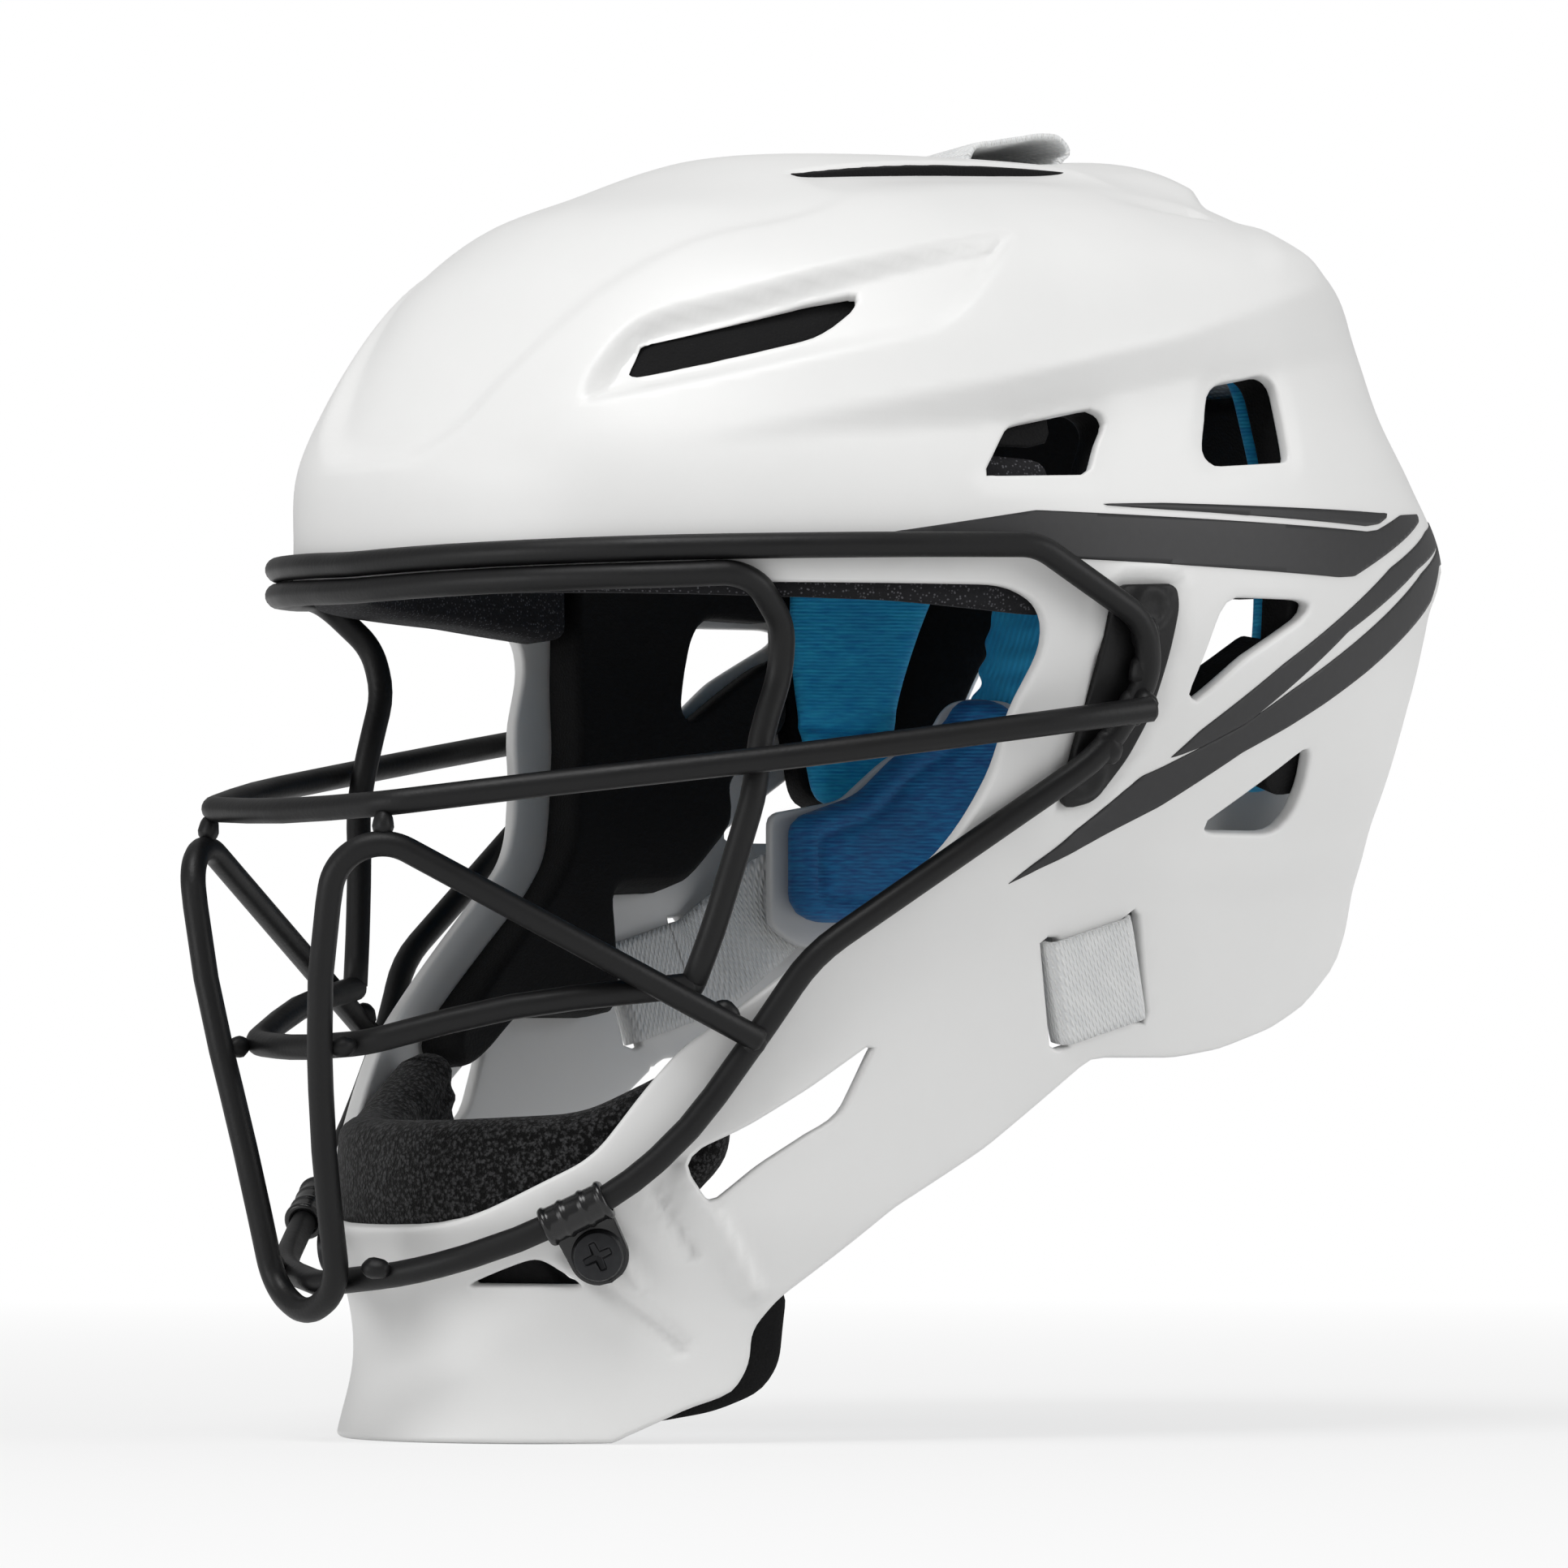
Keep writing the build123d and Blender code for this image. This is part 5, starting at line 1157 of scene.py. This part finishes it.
def curve_through(points, count):
    """Smooth path through a few points: a cubic through each pair, with the slopes of its neighbours."""
    at = np.array(points, float)
    place = np.append(0, np.cumsum(np.linalg.norm(np.diff(at, axis=0), axis=1)))
    slope = np.gradient(at, place, axis=0)
    t = np.linspace(0, place[-1], count)
    i = np.clip(np.searchsorted(place, t, side="right") - 1, 0, len(at) - 2)
    step = (place[i + 1] - place[i])[:, None]
    u = ((t - place[i])[:, None]) / step
    return (at[i] * (1 + 2 * u) * (1 - u) ** 2 + at[i + 1] * (3 - 2 * u) * u**2
            + step * (slope[i] * u * (1 - u) ** 2 - slope[i + 1] * (1 - u) * u**2))


top_width, side_width, webbing_thickness = 38, 25, 1.6
loop_line = [(0, 17.9, 122.6), (0, 16.6, 126.4), (0, 18.0, 128.9), (0, 24.5, 130.6), (0, 32, 131.9),
             (0, 38.5, 132.9), (0, 43.5, 132.4), (0, 45.6, 130.2), (0, 44.2, 127.4), (0, 40.8, 122.6)]
loop_body = ribbon(curve_through(loop_line, 70), (1, 0, 0.1), top_width, webbing_thickness)


def back_line(start, end, count):
    """Middle line of the head form over the crown and down the back, 5.4 mm inside it."""
    around, along = np.full(count, math.pi / 2), np.linspace(start, end, count)
    line = head_form(around, along)
    return line - facing(head_form, around, along) * 5.4


back_run = back_line(form_length - 4, 240, 90)
run_body = ribbon(back_run, (1, 0, 0), top_width, webbing_thickness)
make_piece("crown_webbing", *joined([loop_body[:2], run_body[:2]]), webbing, "helmet", "grey_webbing",
           ["top_strap"], uv=np.concatenate([loop_body[2], run_body[2]]))

bridge = np.array((93.389, -1.187, -70.621))
strap_along = unit(np.array((0.06192, 0.958074, 0.279751)))
strap_out = unit(np.array((0.987315, -0.017739, -0.15778)))
strap_up = unit(np.array((0.146202, -0.285972, 0.947019)))
loop_centre = bridge - strap_out * (shell_wall / 2)
turns = []
for centre_a, centre_b, first in ((1, 1, 0), (-1, 1, 90), (-1, -1, 180), (1, -1, 270)):
    for angle in np.radians(np.linspace(first, first + 90, 6)):
        a = centre_a * (11.6 - 2.2) + 2.2 * math.cos(angle)
        b = centre_b * (3.6 - 2.2) + 2.2 * math.sin(angle)
        turns.append(loop_centre + strap_along * a + strap_out * b)
turns = np.array(turns)
filled = []
for start, end in zip(turns, np.roll(turns, -1, 0)):
    pieces = max(1, int(np.linalg.norm(end - start) / 2))
    filled += [start + (end - start) * k / pieces for k in range(pieces)]
ring_body = ribbon(np.array(filled), strap_up, side_width, webbing_thickness, closed=True)
leave, anchor = np.array((88.48, 10.04, -66.474)), np.array((84.631, 35.185, -48.95))
strap_end = np.array((84.037, 43.497, -48.95))
tail_line = curve_through([leave - strap_along * 4, leave, (leave + anchor) / 2 + (0.3, 0, 0), anchor,
                           strap_end], 40)
turn_share = smooth(np.arange(40.0), 4, 30)[:, None]
tail_body = ribbon(tail_line, strap_up * (1 - turn_share) + np.array((0, 0, 1.0)) * turn_share, side_width,
                   webbing_thickness)
strap_body = joined([ring_body[:2], tail_body[:2]])
strap_lay = np.concatenate([ring_body[2], tail_body[2]])
for hand, sign, sided in (("left", 1, strap_body), ("right", -1, mirrored(*strap_body))):
    piece = make_piece("side_webbing_" + hand, *sided, webbing, None, "grey_webbing", ["side_strap_" + hand],
                       uv=strap_lay)
    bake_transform(piece)

# Floating back plate: a U of light polypropylene behind the head, hung on the straps, with a pad in the
# same blue jersey over grey and black foam, and a stitched edge. The pad's jersey is darkened with painted
# shade.
plate_half, plate_reach, plate_middle, plate_roundness = 83, 100, 20, 2.3


def plate_form(around, height):
    """Upright wall whose plan is half a superellipse behind the middle, and straight ahead of it."""
    c, s = np.cos(around), np.sin(around)
    x = plate_half * signed_power(c, 2 / plate_roundness)
    return np.stack([x, plate_middle + plate_reach * signed_power(s, 2 / plate_roundness), height], -1)


plate_outline = [
    (27.2, -28.1), (47.9, -24.6), (59.3, -14.6), (71.5, -7.1), (74.4, -1.4), (77.9, 1.0), (89.4, 0.8),
    (95.1, -4.5), (103, -23.1), (108.7, -29.4), (131.6, -29.4), (131.6, -61.4), (35.8, -61.4), (27.2, -56.1)]
plate_pad_outline = [
    (30, -29.4), (49.3, -23.1), (60.1, -12.8), (72.2, -5.3), (74.4, -0.7), (77.9, 1.3), (85.8, 0.5),
    (91.5, -5.3), (98.7, -24), (104.4, -30.3), (131.6, -30.3), (131.6, -55.2), (35.8, -55.2), (30, -51.6)]
plate_around = np.linspace(-0.05, math.pi + 0.05, 240)
plate_height = np.linspace(-66, 6, 60)
# Moulded polypropylene: pale grey, slightly waxy, with a light texture
polypropylene = mottled("polypropylene", ("C9CACB", "D8D9D9"), (30, 2), 0.48, (900, 2, 0.15, 0.0002))[0]
plate_wall, plate_edge = 3.0, 0.9
plate_skin = skin(plate_form, plate_around, plate_height, pad_keep(plate_outline, 3.0), plate_edge,
                  closed=False)
plate_body = walled(*plate_skin, plate_wall, rounded_edge(plate_edge, plate_wall))
make_piece("floating_plate", *plate_body, polypropylene, "rear_plate", "plate_plastic", ["back_plate"])


def plate_pad_relief(p):
    """Stitch channel 4 mm inside the pad's edge, and the quilting between."""
    depth = side_depth(p, plate_pad_outline, 4.0)
    channel = np.exp(-((depth - 6.5) / 1.0) ** 2)
    return 0.6 * smooth(depth, 5, 14) - 1.6 * channel


pad_skin = skin(plate_form, plate_around, plate_height, pad_keep(plate_pad_outline, 4.0), 3.6, outset=-3.4,
                closed=False)
pad_body = walled(*pad_skin, 9.4 + plate_pad_relief(pad_skin[1]), soft_rim(3.6, 9))
# The plate's pad takes the darker jersey: painted shade
make_piece("plate_cushion", *pad_body, shaded_jersey, "rear_plate", "blue_jersey",
                     ["back_plate_pad"])
refinish("strap_loops", nylon)

# Rear sleeves: elastic bands in a tube of blue ribbed knit, gathered so that they can stretch. They
# hang the floating plate from the inside of the shell's rear.
knit_blue, tree, shader = new_finish("ribbed_knit")
# Ribbed knit: ribs 1.4 mm apart along the band, darker between, with the dye's unevenness
lay = add_node(tree, "UVMap", uv_map="lay")
ribs = add_node(tree, "TexWave", {"Vector": lay.outputs[0], "Scale": 225, "Distortion": 1.5, "Detail": 2},
                bands_direction="Y")
cloud = add_node(tree, "TexNoise", {"Vector": lay.outputs[0], "Scale": 90, "Detail": 4})
colour = add_node(tree, "Mix", {0: cloud.outputs[0], 6: linear("098CCC"), 7: linear("2CBCEC")},
                  data_type="RGBA")
bump = add_node(tree, "Bump", {"Height": ribs.outputs[0], "Strength": 0.5, "Distance": 0.0005})
dress(tree, shader, Base_Color=colour.outputs[2], Normal=bump.outputs[0], Roughness=0.78, Sheen_Weight=0.3)
sleeve_out_top, sleeve_out_low = np.array((0.6136, 0.7896, 0)), np.array((0.78725, 0.61663, 0))
sleeve_top = np.array((59.935, 114.4, 46.08)) - sleeve_out_top * 4.6
sleeve_low = np.array((62.81, 92.235, -12.46)) + sleeve_out_low * 2.4


def gathered_sleeve():
    """Flat tube between its two ends. Its faces swell in gathers 8 mm long that grow towards the
    lower end, where the tube is also drawn in at the edges."""
    down = np.linspace(0, 1, 110)[:, None]
    turn = np.linspace(0, 2 * math.pi, 64, endpoint=False)[None, :]
    line = sleeve_top * (1 - down) + sleeve_low * down
    normal = unit(sleeve_out_top * (1 - down) + sleeve_out_low * down)
    across = unit(np.cross(normal, (0, 0, 1)))
    gather = smooth(down, 0.25, 0.8)
    wave = np.sin(down * 50 + 1.8 * np.sin(turn * 2 + 1) + 0.9 * np.cos(turn * 3))
    side, face = np.cos(turn), np.sin(turn)
    half = 19.5 - 3.0 * gather + 0.9 * gather * np.sin(down * 50 + 1.2)
    a = signed_power(side, 0.7) * half
    b = signed_power(face, 0.55) * (1.7 + 1.3 * gather * (0.5 + 0.5 * wave))
    points = line[:, None] + across[:, None] * a[..., None] + normal[:, None] * b[..., None]
    run = np.linalg.norm(sleeve_low - sleeve_top)
    lay = np.stack([down * run * np.ones_like(turn), a], -1)
    rows, columns = points.shape[:2]
    j = np.arange(columns)
    faces = [grid_faces(rows, columns, True)]
    flat = points.reshape(-1, 3)
    lay = lay.reshape(-1, 2)
    for end, sign in ((0, -1), (rows - 1, 1)):
        middle = len(flat)
        flat = np.concatenate([flat, [points[end].mean(0)]])
        lay = np.concatenate([lay, [lay[end * columns:(end + 1) * columns].mean(0)]])
        cap = np.stack([end * columns + j, end * columns + (j + 1) % columns, np.full(columns, middle)], -1)
        faces.append(cap if sign > 0 else cap[:, ::-1])
    return outward((flat, np.concatenate(faces))), lay


sleeve_body, sleeve_lay = gathered_sleeve()
for hand, sign, sided in (("left", 1, sleeve_body), ("right", -1, mirrored(*sleeve_body))):
    piece = make_piece("gathered_sleeve_" + hand, *sided, knit_blue, None, "blue_knit",
                       ["rear_sleeve_" + hand], uv=sleeve_lay)
    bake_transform(piece)
